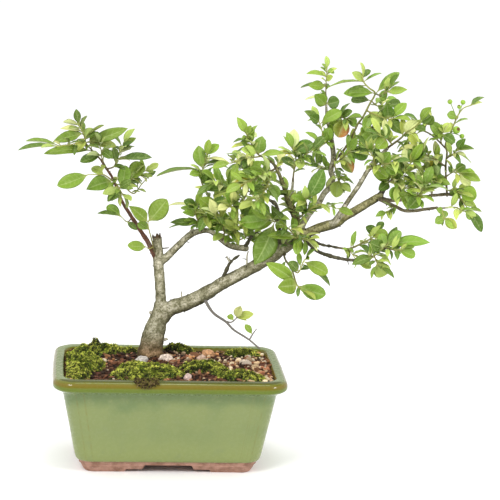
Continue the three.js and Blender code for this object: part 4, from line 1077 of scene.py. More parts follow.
@dataclass
class Moss:
    """The moss: a lumpy cushion over each patch's mounds, covered in little green shoots."""

    soil: Soil
    # Each mound is x, y, half length, half width, height and turn in degrees
    patches: dict = field(default_factory=lambda: {
        "moss_left": ((-77, -6, 19, 46, 8, -2), (-58, 41, 30, 13, 8.5, 4), (-64, 48, 6, 6, 13, 0)),
        "moss_front": ((-21, -31, 32, 25, 7, 4),),
        "moss_front_right": ((32, -15, 23, 15, 6.5, -16), (62, -38, 23, 14, 6, -12)),
        "moss_back": ((11, 51, 15, 7, 7.5, 0),),
        "moss_right_back": ((71, 44, 17, 11, 6, -6),),
    })
    cell: float = 0.8
    sunk: float = -1.2
    bottom: float = 80.5
    reach: float = 12.1
    # The width of the small round cushions, and the colours of the painted shade in the creases, of the
    # cushions and of the shoots
    small: float = 2.9
    dark: Colour = linear("1b1a0d")
    green: Colour = linear("465623")
    deep: Colour = linear("2b3312")
    middle: Colour = linear("a4ba34")
    bright: Colour = linear("e8ec66")
    brown: Colour = linear("b09c58")
    dry: tuple = ("55482a", "3a2e1a", "6f6a30", "2a2415", "7d6b45")
    # The share of the places that bear shoots, and how many blades each shoot has
    bearing: float = 0.6
    blades: int = 6
    # Where the dry clump lies along X, and its run in Y and Z from the patch down over the lip
    spill_run: tuple = ((-31.0, -11.0), ((-54.0, -62.0, -69.5, -70.6), (86.5, 88.2, 87.6, 83.4)))
    spill_bits: int = 520

    def mound(self, x: Rows, y: Rows, mound: tuple, seed: int) -> Rows:
        """Gives how high one mound stands over the soil.

        Args:
            x: places along X.
            y: places along Y.
            mound: its row of sizes.
            seed: the patch's number, which sets its lobes.

        Returns:
            Heights in millimetres, below 0 outside the mound.
        """
        cx, cy, half_length, half_width, height, turn = mound
        c, s = math.cos(math.radians(turn)), math.sin(math.radians(turn))
        along, across = (x - cx) * c + (y - cy) * s, (y - cy) * c - (x - cx) * s
        angle = np.arctan2(across / half_width, along / half_length)
        lobe = 1 + 0.13 * np.sin(3 * angle + seed) + 0.08 * np.sin(5 * angle + 2 * seed)
        reach = np.hypot(along / half_length, across / half_width) / lobe
        bump = 1 + 0.16 * np.sin(4 * angle + seed * 1.7 + np.clip(reach, 0, 1) * 5)
        lift = np.interp(reach, (0, 0.35, 0.8, 1, 1.3), (1.04, 1, 0.62, 0, -0.7))
        return lift * height * bump

    def dome(self, x: Rows, y: Rows, size: float) -> Rows:
        """Gives round cushions.

        Args:
            x: places along X.
            y: places along Y.
            size: how wide the cushions are, in millimetres.

        Returns:
            1 on top of them, 0 in the creases.
        """
        places = np.column_stack([x, y, np.full(len(x), 3.7)]) / size
        away = np.array([noise.voronoi(place)[0][0] for place in places.tolist()])
        return np.clip(1 - (away / 0.62) ** 2, 0, 1)

    def surface(self, x: Rows, y: Rows, mounds: tuple, seed: int) -> Rows:
        """Gives the patch's height over the soil, with its cushions.

        Args:
            x: places along X.
            y: places along Y.
            mounds: the patch's mounds.
            seed: its number.

        Returns:
            The heights there.
        """
        height = np.max([self.mound(x, y, mound, seed) for mound in mounds], axis=0)
        ragged = grain(np.column_stack([x, y, np.zeros(len(x))]), 7.5, seed + 7) * 1.5
        cushions = 1.5 * self.dome(x, y, 6.2) + 1.2 * self.dome(x, y, self.small) - 1.7
        return height + ragged + cushions * np.clip(height / 2.0, 0.2, 1) - 0.3

    def patch(self, name: str, mounds: tuple, seed: int, finish: Material) -> Piece:
        """Builds one patch.

        Args:
            name: its node.
            mounds: its mounds.
            seed: its number.
            finish: its material.

        Returns:
            The patch with its shoots, as one piece.
        """
        size = max(max(m[2], m[3]) for m in mounds) * 1.3
        middles = np.array([m[:2] for m in mounds], dtype=float)
        low = np.maximum(middles.min(axis=0) - size, (-91, -59))
        high = np.minimum(middles.max(axis=0) + size, (91, 59))
        grid_x, grid_y = np.meshgrid(*(np.arange(a, b, self.cell) for a, b in zip(low, high)))
        x, y = grid_x.ravel(), grid_y.ravel()
        lift = self.surface(x, y, mounds, seed)
        kept = (lift > self.sunk) & (self.soil.cornered(x, y) < self.reach)
        lattice = Lattice(x, y, self.soil.height(x, y) + lift, lift, kept, grid_x.shape)
        draft = Draft()
        self.cushion(draft, lattice)
        self.shoots(draft, lattice, seed)
        return draft.build(name + "_fine", [finish])

    def cushion(self, draft: Draft, lattice: Lattice) -> None:
        """Adds the closed cushion under the shoots.

        Args:
            draft: the mesh to add to.
            lattice: its places.
        """
        rows, columns = lattice.shape
        inside = lattice.kept.reshape(lattice.shape)
        cells = inside[:-1, :-1] & inside[1:, :-1] & inside[:-1, 1:] & inside[1:, 1:]
        used = np.zeros(lattice.shape, dtype=bool)
        for dj, di in ((0, 0), (1, 0), (0, 1), (1, 1)):
            used[dj:rows - 1 + dj, di:columns - 1 + di] |= cells
        top = lattice.places()[used.ravel()]
        count = len(top)
        number = -np.ones(lattice.shape, dtype=int)
        number[used] = np.arange(count)
        framed = np.pad(cells, 1)
        faces = []
        for j, i in zip(*np.nonzero(cells)):
            a, b, c, d = number[j, i], number[j, i + 1], number[j + 1, i + 1], number[j + 1, i]
            faces.append((a, b, c, d))
            faces.append((a + count, d + count, c + count, b + count))
            for dj, di, p, q in ((-1, 0, a, b), (0, 1, b, c), (1, 0, c, d), (0, -1, d, a)):
                if not framed[1 + j + dj, 1 + i + di]:
                    faces.append((q, p, p + count, q + count))
        # Painted shade: the cushion is dark in the creases between its round cushions, and dark beneath and
        # at its sides
        unshaded_share = step_up(self.dome(top[:, 0], top[:, 1], self.small), 0.2, 0.9)[:, None]
        tint = np.vstack([fade(unshaded_share, self.dark, self.green), np.tile(self.dark, (count, 1))])
        low = top * [1, 1, 0] + UP * self.bottom
        draft.add(np.vstack([top, low]), faces, tint)

    def shoots(self, draft: Draft, lattice: Lattice, seed: int) -> None:
        """Adds the little shoots that stand on the cushion.

        Args:
            draft: the mesh to add to.
            lattice: its places.
            seed: the patch's number.
        """
        draws = np.random.default_rng(100 + seed)
        slope_y, slope_x = np.gradient(lattice.z.reshape(lattice.shape), self.cell)
        ways = np.column_stack([-slope_x.ravel(), -slope_y.ravel(), np.ones(len(lattice.x))])
        ways /= np.linalg.norm(ways, axis=1)[:, None]
        spots = np.nonzero(lattice.kept & (lattice.lift > 0.1))[0]
        chosen = draws.choice(spots, size=int(len(spots) * self.bearing), replace=False)
        places = lattice.places()[chosen]
        domes = self.dome(places[:, 0], places[:, 1], self.small)
        brown = np.array(self.brown)
        for place, up, tone, dome in zip(places, ways[chosen], grain(places, 11, seed + 60), domes):
            root = place + draws.uniform(-0.5, 0.5, 3) * [1, 1, 0]
            share = float(step_up(tone + 0.5 * dome + draws.normal(0, 0.25), -0.25, 0.75))
            tint = fade(share, self.middle, self.bright) if draws.random() > 0.06 else brown
            # Painted shade: shoots in the creases are darker
            tint = tint * draws.uniform(0.5, 1.5) * (0.3 + 0.9 * dome) * (0.75 + 0.5 * share)
            for _ in range(self.blades):
                way = unit(up + draws.normal(0, 0.62, 3))
                side = unit(np.cross(way, draws.normal(0, 1, 3)))
                across = np.cross(way, side)
                wide, tall = draws.uniform(0.2, 0.38), draws.uniform(0.8, 1.9)
                ring = [side, -0.5 * side + 0.87 * across, -0.5 * side - 0.87 * across]
                points = np.array([root - way * 0.3 + r * wide for r in ring] + [root + way * tall])
                faces = ((0, 1, 3), (1, 2, 3), (2, 0, 3), (2, 1, 0))
                # Each blade is dark at its base, partly its own colour and partly painted shade
                draft.add(points, faces, np.array([*[self.deep] * 3, tint * draws.uniform(0.8, 1.2)]))

    def spill(self, finish: Material) -> Piece:
        """Builds the dry clump that hangs from the front patch over the pot's lip.

        Args:
            finish: its material.

        Returns:
            The clump, as one piece.
        """
        draws = np.random.default_rng(90)
        draft = Draft()
        tints = [np.array(linear(code)) for code in self.dry]
        along, down = self.spill_run
        for _ in range(self.spill_bits):
            share, x = draws.random(), draws.uniform(*along)
            sag = (1 - abs(2 * (x - along[0]) / (along[1] - along[0]) - 1)) ** 0.5
            share = share * (0.55 + 0.45 * sag)
            place = np.array([x, *[np.interp(share, (0, 0.25, 0.6, 1), row) for row in down]])
            way = unit(draws.normal(0, 1, 3) + [0, -0.5, 0.15])
            side = unit(np.cross(way, draws.normal(0, 1, 3)))
            tall, wide = draws.uniform(1.2, 3.4), draws.uniform(0.3, 0.55)
            points, faces, _ = tube(np.array([
                [*place, wide], [*(place + way * tall * 0.5 + side * 0.4), wide * 0.8],
                [*(place + way * tall), wide * 0.3],
            ]), 5)
            draft.add(points, faces, tints[draws.integers(len(tints))] * draws.uniform(0.6, 1.3))
        return draft.build("moss_spill", [finish])

    def build(self) -> None:
        """Builds every patch and hands it over."""
        finish = Tinted("moss_green", 0.9, 0.25, 0.9, 0.15, 0.2).make()
        for number, (name, mounds) in enumerate(self.patches.items()):
            hand_over(self.patch(name, mounds, number + 1, finish), "moss", name)
        hand_over(self.spill(finish), "moss", "moss_front")


class Tone(Enum):
    """The colours that leaves and shoots come in, each for its upper and its lower side."""

    GREEN = (linear("7b9934"), linear("9fb064"))
    YOUNG = (linear("a7b858"), linear("bcc67c"))
    DARK = (linear("567323"), linear("809150"))
    PALE = (linear("c6ce8a"), linear("cdd4a0"))
    YELLOW = (linear("b8b03c"), linear("bfb95e"))
    RED = (linear("84953a"), linear("98a05c"))


class Skin(Enum):
    """The colours of bark, from old wood to young shoots."""

    FOOT = linear("9c8060")
    GREY = linear("bab49e")
    PALE = linear("bdb7a4")
    LICHEN = linear("a8a276")
    BROWN = linear("6f664e")
    DARK = linear("4e4b38")
    RUST = linear("6a4838")
    TWIG = linear("564634")
    STALK = linear("85803f")
    DEAD = linear("77726a")


@dataclass(frozen=True)
class Shoot:
    """A leafy shoot: its places, root radius, how many leaves it bears by rule, and their length."""

    points: list
    radius: float
    leaves: int
    leaf_length: float


@dataclass(frozen=True)
class Sprig:
    """A shoot that springs from an earlier one, at a share of the way up it."""

    parent: int
    share: float
    points: list
    radius: float
    leaves: int
    leaf_length: float


@dataclass(frozen=True)
class Leaf:
    """A leaf with a place of its own: its shoot, share up it, tip, width and lie."""

    shoot: int
    share: float
    tip: list
    width: float
    lie: float
    tone: Union[Tone, None] = None


@dataclass(frozen=True)
class Berry:
    """A berry: its shoot, share up it, middle and radius."""

    shoot: int
    share: float
    centre: list
    radius: float


Part = Union[Shoot, Sprig, Leaf, Berry]


# A scratch program worked out the rows of these two tables from places read off the photograph by eye
BRANCHES: dict[str, list[list[float]]] = {
    "trunk": [
        [-16, 30, 58, 7], [-15.4, 29, 77, 11.6], [-15, 29, 89, 11.4], [-13, 28, 104, 10.2],
        [-10, 27, 116, 8.6], [-7, 26, 127, 7.5], [-7, 25, 136, 5.7],
    ],
    "leader": [
        [-8, 26, 124, 6.3], [-7, 25, 134, 5.1], [-8, 24, 152, 4.6], [-10, 25, 171, 4.8],
        [-11, 26, 182, 4.5],
    ],
    "stump": [[-10, 26, 176, 4.7], [-11, 26, 187, 4.2], [-12, 26, 197, 4]],
    "main": [
        [-11, 27, 115, 7.5], [0, 24, 130, 7.1], [18, 21, 138, 6.6], [33, 18, 147, 6.3], [47, 15, 157, 5.9],
        [62, 12, 166, 5.7], [76, 9, 175, 5.7], [88, 7, 183, 5.6], [99, 6, 191, 5.4], [107, 5, 198, 4.9],
        [113, 5, 204, 4.4],
    ],
    "right": [
        [110, 5, 201, 4.5], [128, 3, 210, 4.3], [144, 0, 216, 4.2], [151, -2, 222, 3.9],
        [160, -4, 228, 3.8], [174, -8, 238, 3.5], [181, -10, 243, 3],
    ],
    "right_stub": [[178, -9, 240, 2.4], [182, -9, 246, 2.3], [185, -8, 251, 1.9]],
    "twig_upper": [
        [178, -9, 241, 2.3], [190, -6, 238, 1.7], [204, 0, 238, 1.5], [215, 6, 239, 1.4],
        [229, 11, 240, 1.4], [244, 15, 241, 1.4], [254, 17, 239, 1],
    ],
    "twig_lower": [
        [179, -11, 240, 2.1], [192, -18, 235, 1.5], [202, -24, 232, 1.5], [218, -30, 235, 1.4],
        [227, -32.2, 237, 1.2],
    ],
    "grey": [
        [110, 6, 202, 3.7], [116, 9, 214, 3.1], [122, 14, 222, 2.8], [130, 19, 230, 2.6],
        [135, 23, 238, 2.6], [140, 26, 243, 2.6], [143, 28, 251, 2.6], [141, 29, 258, 2.4],
        [143, 30, 269, 2.4], [141, 31, 283, 2.3], [139, 32, 294, 1.9], [136, 33, 304, 1.5],
        [135, 34, 316, 1.1],
    ],
    "grey_fork": [[140, 32, 292, 1.6], [142, 31, 298, 1.4], [143, 30, 303, 1.2]],
    "pale": [
        [141, 0, 215, 3], [146, -3, 224, 2.5], [153, -6, 237, 2.2], [162, -10, 253, 2.1],
        [168, -12, 265, 2], [175, -14, 276, 2], [181, -15, 282, 1.7], [184, -15.6, 286, 1.4],
    ],
    "riser": [
        [113, 4, 202, 4], [111, 2, 211, 3.5], [106, -1, 225, 3.4], [100, -4, 237, 2.8], [96, -7, 248, 2],
        [87, -11, 267, 1.4], [77, -15, 275, 1],
    ],
    "riser_twig": [[101, -4, 235, 1.9], [103, -8, 246, 1.4], [103, -11, 257, 1]],
    "dark_riser": [
        [97, 8, 189, 2.6], [95, 14, 208, 2.1], [93, 19, 226, 1.8], [85, 23, 232, 1.5], [77, 26, 236, 1.2],
    ],
    "middle": [
        [-9, 26, 173, 4], [-3, 27, 177, 3.5], [7, 29, 187, 3.1], [18, 31, 197, 3], [29, 31, 201, 2.5],
        [37, 30, 200, 2.3], [46, 28, 193, 2.3], [55, 26, 188, 2.6], [68, 24, 187, 3],
    ],
    "middle_stub": [[16, 31, 195, 2.1], [20, 31, 202, 1.6]],
    "dark_stub": [[66, 24, 187, 1.9], [72, 21, 199, 1.5], [78, 19, 205, 1.3]],
    "low_twig": [[47, 14, 162, 1.7], [50, 10, 171, 1.5], [53, 8, 178, 1.3], [60, 7, 184, 1]],
    "low_twig_stub": [[52, 8, 178, 1], [49, 5, 183, 0.8]],
    "left": [
        [-12, 26, 176, 2.8], [-14, 24, 180, 2.4], [-21, 22, 193, 2.1], [-31, 20, 208, 1.9],
        [-36, 19, 216, 1.7], [-43, 18, 227, 1.4], [-52, 17, 248, 1.2], [-59, 16, 259, 1.1],
        [-63, 15, 265, 1],
    ],
    "thorn_limb": [[13, 21, 139, 0.9], [11, 20, 144, 0.7], [11, 19, 148, 0.4]],
    "thorn_leader": [[-10, 26, 185, 0.9], [-1, 25, 186, 0.4]],
    "knob_left": [[-12, 26, 125, 1.7], [-16, 25, 127, 1.5]],
    "knob_right": [[-7, 27, 100, 1.6], [-1, 25, 103, 1.4]],
    "limb_twig_pale": [[68, 10, 172, 1], [67, 8, 182, 0.8], [68, 6, 188, 0.5]],
    "lower_right": [
        [118, 3, 200, 2.3], [126, -8, 193, 1.7], [136, -16, 190, 1.6], [151, -24, 188, 1.5],
        [164, -30, 189, 1.2],
    ],
    "lower_upper": [[120, 3, 203, 2.1], [128, -4, 198, 1.5], [145, -10.6, 196, 1.2]],
}

SPRAYS: dict[str, list[Part]] = {
    "spray_left_tip": [
        Shoot([[-62, 15, 264], [-70, 12, 273], [-76, 9, 280], [-78, 7, 287], [-83, 4, 298]], 1, 6, 15),
        Sprig(0, 0.46, [[-82, 4, 281], [-91, -2, 280], [-102, -6, 279]], 0.8, 2, 14),
        Leaf(0, 0.95, [-96, 0, 300], 7, 0.7), Leaf(0, 0.8, [-99, 12, 292], 8, 0.6),
        Leaf(0, 0.75, [-105, 0, 282], 10, 0.15), Leaf(0, 0.65, [-61, -2, 298], 7, 0.8),
        Leaf(0, 0.55, [-40, 12, 294], 11, 0.2), Leaf(0, 0.55, [-50, 1, 277], 8, 0.3),
        Leaf(0, 0.6, [-71, 16, 293], 9, 0.2), Leaf(0, 0.65, [-83, -1, 275], 9, 0.2),
        Leaf(0, 0.3, [-112, 0, 272], 9, 0.3, Tone.GREEN),
        Leaf(1, 0.95, [-134, -11, 277], 7, 0.7, Tone.DARK),
        Leaf(1, 0.9, [-128, 1, 281], 7, 0.8, Tone.GREEN), Leaf(1, 0.7, [-83, -15, 285], 7, 0.8),
    ],
    "spray_left_middle": [
        Shoot([[-57, 16, 257], [-51, 20, 259], [-48, 24, 267], [-46, 26, 272], [-43, 28, 278]], 1, 7, 15),
        Leaf(0, 0.8, [-32, 30, 283], 7, 0.4), Leaf(0, 0.65, [-36, 33, 274], 7, 0.6),
        Leaf(0, 0.5, [-18, 26, 267], 9, 0.45), Leaf(0, 0.45, [-60, 37, 269], 9, 0.3),
    ],
    "spray_left_inner": [
        Shoot([[-57, 16, 256], [-62, 9, 267], [-63, 5, 275], [-65, 2, 282]], 0.8, 5, 15),
        Leaf(0, 0.6, [-81, 3, 265], 9, 0.3), Leaf(0, 0.75, [-54, -3, 270], 8, 0.2),
    ],
    "spray_left_low": [
        Shoot([[-54, 17, 248], [-49, 8, 245], [-46, 2, 241], [-43, -4, 237]], 0.9, 6, 14),
        Sprig(0, 0.08, [[-60, 8, 253], [-66, 2, 254], [-74, -3, 255]], 0.8, 0, 14),
        Leaf(1, 1, [-100, -11, 246], 13, 0.1, Tone.GREEN),
        Leaf(0, 0.15, [-75, 3, 241], 14, 0.15, Tone.GREEN), Leaf(0, 0.55, [-61, -2, 238], 8, 0.2),
        Leaf(0, 1, [-57, 2, 232], 9, 0.45, Tone.DARK), Leaf(0, 0.6, [-37, -9, 251], 8, 0.2),
        Leaf(1, 0.4, [-71, 15, 258], 8, 0.3),
    ],
    "spray_left_back": [
        Shoot([[-48, 18, 239], [-42, 28, 240], [-36, 36, 244], [-29, 42, 248], [-22, 46, 252]], 0.9, 7, 14),
        Sprig(0, 0.28, [[-33, 38, 232], [-26, 46, 239], [-21, 50, 244]], 0.8, 2, 12),
        Leaf(0, 0.15, [-41, 32, 258], 12, 0.1), Leaf(0, 0.5, [-26, 41, 259], 14, 0.1),
        Leaf(0, 0.75, [-40, 52, 248], 13, 0.2, Tone.GREEN), Leaf(0, 0.95, [-16, 49, 252], 8, 0.3),
    ],
    "spray_left_pair": [
        Shoot([[-13, 24, 179], [-17, 16, 195], [-20, 11, 206], [-21, 8, 213]], 0.9, 0, 14),
        Sprig(0, 0.26, [[-19, 14, 187], [-22, 8, 190]], 0.7, 0, 14),
        Leaf(0, 1, [-38, 3, 227], 11, 0.1, Tone.GREEN), Leaf(0, 1, [-5, 4, 233], 17, 0.05, Tone.GREEN),
        Leaf(0, 0.95, [-12, 23, 229], 7, 0.8), Leaf(0, 0.75, [-29, 21, 209], 9, 0.2),
        Leaf(1, 1, [-38, 4, 192], 9.5, 0.15, Tone.GREEN),
    ],
    "spray_left_side": [
        Shoot([[-35, 19, 213], [-39, 13, 211], [-45, 8, 217]], 0.8, 0, 14),
        Leaf(0, 0.95, [-65, 4, 220], 6, 0.6), Leaf(0, 0.95, [-57, 12, 225], 9, 0.2),
        Leaf(0, 0.5, [-30, 10, 204], 6, 0.4),
    ],
    "spray_mid_tall": [
        Shoot([[34, 30, 200], [37, 32, 209], [37, 33, 221], [33, 32, 233], [26, 30, 246], [28, 28, 260],
            [30, 26, 270]], 1, 6, 16),
        Sprig(0, 0.24, [[43, 40, 226], [50, 46, 233], [52, 50, 242]], 0.9, 8, 17),
        Leaf(0, 0.8, [23, 33, 277], 12, 0.05), Leaf(0, 0.8, [-14, 24, 252], 8, 0.9),
        Leaf(0, 0.75, [15, 19, 253], 8, 0.3), Leaf(0, 1, [41, 30, 279], 8, 0.2),
        Leaf(0, 0.95, [50, 21, 265], 7, 0.8), Leaf(0, 0.9, [51, 35, 257], 7, 0.8),
        Leaf(0, 0.7, [38, 18, 244], 10, 0.3),
    ],
    "spray_mid_left": [
        Shoot([[29, 31, 201], [25, 22, 209], [21, 15, 219], [22, 9, 228]], 1, 8, 16),
        Sprig(0, 0.44, [[30, 10, 219], [36, 2, 226]], 0.9, 6, 16), Leaf(0, 0.35, [-1, 17, 211], 8, 0.3),
        Leaf(0, 0.3, [-2, 29, 204], 7, 0.85), Leaf(0, 0.65, [9, 9, 221], 8, 0.4),
        Leaf(0, 0.95, [10, 6, 232], 9, 0.3), Leaf(0, 0.9, [-3, 19, 226], 7, 0.85),
        Leaf(1, 0.95, [23, -2, 236], 14, 0.1), Leaf(1, 0.55, [24, 4, 205], 9, 0.5),
    ],
    "spray_mid_front": [
        Shoot([[46, 28, 192], [47, 16, 202], [43, 4, 214], [37, -6, 223]], 1, 9, 18),
        Sprig(0, 0.18, [[54, 10, 203], [59, 0, 212], [65, -8, 219]], 0.9, 8, 17),
        Leaf(0, 0.4, [30, 4, 222], 12, 0.05), Leaf(1, 0.7, [75, -7, 231], 13, 0.05),
        Leaf(1, 0.5, [43, -4, 216], 10, 0.2), Leaf(0, 0.3, [37, 8, 197], 8, 0.5),
    ],
    "spray_mid_clump": [
        Shoot([[60, 25, 187], [59, 34, 192], [56, 42, 199], [51, 48, 205]], 0.9, 9, 16),
        Sprig(0, 0.3, [[67, 38, 194], [74, 42, 199], [79, 48, 206]], 0.9, 8, 16),
        Leaf(0, 0.25, [44, 39, 193], 7, 0.4),
    ],
    "spray_centre_fold": [
        Shoot([[95, 14, 210], [92, 4, 215], [88, -8, 218], [84, -16, 223]], 1.1, 4, 18),
        Leaf(0, 0.6, [72, -14, 180], 21, 0, Tone.DARK), Leaf(0, 0.9, [58, -18, 218], 14, 0.1, Tone.GREEN),
        Leaf(0, 1, [67, -22, 232], 12, 0.2), Leaf(0, 0.4, [98, -12, 213], 9, 0.2),
    ],
    "spray_centre_crown": [
        Shoot([[78, -14, 274], [71, -17, 278], [67, -18, 284], [60, -18, 296]], 1, 7, 15),
        Sprig(0, 0.14, [[64, -22, 275], [54, -26, 273], [47, -28, 271]], 0.9, 7, 16),
        Leaf(0, 0.25, [74, -21, 294], 12, 0.05), Leaf(0, 0.95, [64, -21, 303], 6, 0.2),
        Leaf(0, 0.9, [70, -15, 295], 6, 0.3), Leaf(0, 0.6, [48, -16, 283], 7, 0.7),
        Leaf(0, 0.5, [53, -10, 279], 7, 0.7), Leaf(0, 0.3, [56, -26, 283], 9, 0.2),
        Leaf(0, 0.2, [93, -25, 281], 8, 0.5),
    ],
    "spray_centre_front": [
        Shoot([[88, -11, 265], [78, -22, 262], [67, -32, 258], [56, -40, 255]], 1, 10, 17),
        Sprig(0, 0.2, [[80, -28, 254], [74, -36, 246], [67, -42, 240]], 0.9, 9, 17),
        Leaf(0, 0.3, [58, -27, 264], 10, 0.2), Leaf(1, 0.4, [89, -34, 244], 10, 0.15),
        Leaf(0, 0.65, [48, -38, 251], 9, 0.4, Tone.YELLOW),
    ],
    "spray_centre_back": [
        Shoot([[78, 26, 236], [75, 36, 244], [69, 44, 253], [64, 50, 260]], 1, 10, 17),
        Sprig(0, 0.14, [[85, 42, 246], [92, 50, 254], [97, 56, 260]], 0.9, 8, 16),
        Leaf(0, 0.7, [80, 38, 263], 9, 0.2),
    ],
    "spray_centre_left": [
        Shoot([[80, 25, 234], [69, 18, 239], [57, 12, 241], [45, 6, 245], [35, 2, 251]], 1, 11, 17),
        Sprig(0, 0.32, [[62, 4, 234], [55, -4, 230], [47, -12, 230]], 0.9, 8, 17),
        Leaf(0, 0.5, [56, 7, 258], 9, 0.2), Leaf(0, 0.7, [27, -1, 243], 9, 0.4),
        Leaf(1, 0.65, [45, -9, 242], 9, 0.2),
    ],
    "spray_riser_side": [
        Shoot([[108, 0, 218], [113, -12, 225], [115, -20, 234], [113, -24, 241]], 1, 6, 16),
        Sprig(0, 0.5, [[120, -22, 233], [127, -27, 237], [141, -30, 234]], 0.8, 5, 14),
        Leaf(0, 0.95, [127, -28, 267], 14, 0), Leaf(0, 0.8, [101, -27, 244], 9, 0.2),
    ],
    "spray_riser_top": [
        Shoot([[103, -11, 254], [103, -16, 263], [104, -20, 274], [100, -22, 285]], 1, 7, 16),
        Sprig(0, 0.44, [[109, -24, 277], [117, -28, 284]], 0.9, 6, 16),
        Leaf(0, 0.95, [101, -24, 301], 11, 0.05, Tone.PALE), Leaf(0, 0.85, [117, -26, 290], 12, 0.1),
        Leaf(0, 0.7, [109, -15, 286], 12, 0.2), Leaf(1, 0.5, [106, -30, 268], 9, 0.2),
        Leaf(0, 0.45, [92, -14, 275], 8, 0.4), Leaf(0, 0.95, [92, -19, 295], 2.5, 0.5),
    ],
    "spray_limb_top": [
        Shoot([[104, 5, 196], [106, -8, 205], [101, -18, 213], [95, -26, 217]], 1, 5, 16),
        Sprig(0, 0.26, [[112, -16, 205], [117, -26, 205]], 0.9, 6, 16),
        Leaf(1, 0.3, [82, -18, 207], 9, 0.35, Tone.GREEN), Leaf(1, 0.5, [107, -24, 192], 9, 0.2),
    ],
    "spray_under": [
        Shoot([[99, 6, 188], [100, -4, 183], [105, -12, 176], [108, -18, 167], [110, -21, 163],
            [114, -23, 159]], 1.6, 1, 14),
        Sprig(0, 0.4, [[110, -16, 174], [114, -20, 185], [116, -22, 188]], 0.9, 2, 14),
        Leaf(0, 0.75, [81, -24, 184], 12, 0.05, Tone.GREEN),
        Leaf(0, 0.85, [92, -26, 163], 15, 0.05, Tone.GREEN),
        Leaf(0, 0.85, [134, -26, 157], 14, 0.05, Tone.GREEN),
        Leaf(1, 0.85, [135, -26, 176], 12, 0.1, Tone.GREEN), Leaf(1, 0.75, [141, -11, 162], 8, 0.5),
        Leaf(1, 0.45, [101, -23, 185], 9, 0.2),
    ],
    "spray_column_top": [
        Shoot([[135, 34, 315], [134, 33, 329], [134, 32, 340], [134, 31, 349]], 0.8, 4, 12),
        Leaf(0, 0.75, [116, 29, 344], 6, 0.5, Tone.GREEN), Leaf(0, 0.5, [118, 29, 333], 9, 0.1),
        Leaf(0, 0.55, [112, 39, 330], 6, 0.8, Tone.DARK), Leaf(0, 0.2, [116, 39, 320], 6, 0.8),
        Leaf(0, 0, [124, 31, 325], 12, 0.05), Leaf(0, 0.9, [141, 34, 345], 6, 0.4),
        Leaf(0, 0.65, [139, 28, 342], 6, 0.3), Leaf(0, 0.05, [146, 30, 320], 12, 0.1),
    ],
    "spray_column_middle": [
        Shoot([[141, 31, 282], [133, 24, 284], [126, 18, 280]], 0.9, 6, 15),
        Sprig(0, 0.48, [[131, 22, 293], [127, 20, 304]], 0.9, 2, 14), Leaf(1, 0.9, [114, 17, 312], 8, 0.4),
        Leaf(1, 0.9, [118, 14, 308], 9, 0.1), Leaf(1, 0.8, [146, 13, 313], 11, 0.1),
        Leaf(0, 0.35, [137, 20, 297], 11, 0.1), Leaf(0, 0.9, [116, 25, 276], 8, 0.4),
    ],
    "spray_column_low": [
        Shoot([[141, 29, 260], [145, 20, 267], [151, 12, 274], [155, 6, 280]], 1, 7, 16),
        Sprig(0, 0.22, [[145, 18, 255], [148, 10, 249]], 0.9, 6, 15),
        Leaf(1, 0.75, [144, 9, 237], 13, 0.05), Leaf(0, 0.65, [157, 6, 260], 12, 0.1, Tone.RED),
        Leaf(0, 0.9, [170, 3, 276], 14, 0.15), Leaf(1, 1, [156, 7, 244], 8, 0.3),
    ],
    "spray_column_back": [
        Shoot([[143, 29, 257], [135, 32, 259], [128, 34, 263]], 0.8, 5, 14),
    ],
    "spray_fork": [
        Shoot([[144, 30, 304], [147, 24, 306], [152, 18, 306]], 0.8, 3, 14),
        Leaf(0, 0.9, [144, 13, 290], 15, 0.05, Tone.RED), Leaf(0, 0.45, [156, 19, 313], 8, 0.4),
        Leaf(0, 0.9, [162, 25, 300], 9, 0.2), Leaf(0, 0.2, [139, 34, 291], 10, 0.2),
    ],
    "spray_second": [
        Shoot([[142, 29, 265], [149, 25, 274], [156, 20, 287], [161, 16, 301], [165, 13, 308],
            [170, 10, 320], [174, 7, 330], [168, 4, 335], [163, 1, 340], [161, -1, 345]], 1.8, 1, 12),
        Sprig(0, 0.2, [[159, 30, 282], [167, 36, 284], [174, 42, 285]], 1, 7, 16),
        Sprig(0, 0.46, [[168, 8, 301], [176, 2, 298]], 0.9, 5, 16),
        Sprig(0, 0.6, [[172, 2, 313], [179, -6, 311], [187, -12, 310]], 1, 3, 15),
        Sprig(0, 0.78, [[178, 1, 329], [183, -3, 333], [185, -5, 338]], 0.9, 2, 13),
        Sprig(0, 0.7, [[178, 16, 318], [186, 22, 318]], 0.8, 4, 14), Leaf(2, 0.45, [165, 3, 293], 9, 0.2),
        Leaf(2, 1, [162, -3, 284], 13, 0.1), Leaf(1, 0.7, [177, 30, 276], 12, 0.2),
        Leaf(3, 0.05, [184, -2, 306], 11, 0.1), Leaf(3, 0.85, [197, -16, 298], 10, 0.1),
        Leaf(3, 0.2, [165, 0, 298], 9, 0.1), Leaf(3, 0.9, [182, -16, 324], 11, 0.1),
        Leaf(3, 0.95, [200, -7, 324], 9, 0.2), Leaf(0, 0.95, [152, -3, 349], 8, 0.3),
        Leaf(0, 1, [168, 4, 351], 6, 0.5), Leaf(0, 0.95, [178, 2, 349], 5, 0.8),
        Leaf(0, 0.95, [132, 5, 336], 6, 0.9), Leaf(0, 0.9, [148, -3, 331], 6, 0.8),
        Leaf(4, 0.05, [195, 10, 349], 9, 0.3), Leaf(4, 0.4, [194, 6, 341], 6, 0.8),
        Leaf(4, 0.2, [184, -2, 327], 10, 0.1), Leaf(4, 0.95, [183, -7, 345], 9, 0.1),
        Leaf(4, 0.7, [200, -7, 336], 8, 0.3), Leaf(4, 0.05, [146, -1, 329], 10, 0.15),
        Leaf(5, 0, [154, 14, 323], 9, 0.2), Leaf(5, 0.5, [191, 22, 308], 9, 0.1),
        Leaf(5, 0.95, [200, 25, 320], 9, 0.3),
    ],
    "spray_pale_end": [
        Shoot([[184, -16, 286], [194, -17, 294], [199, -20, 300], [205, -23, 305],
            [210, -25, 311]], 1.2, 4, 15),
        Sprig(0, 0.12, [[181, -24, 295], [173, -30, 299]], 0.9, 5, 16),
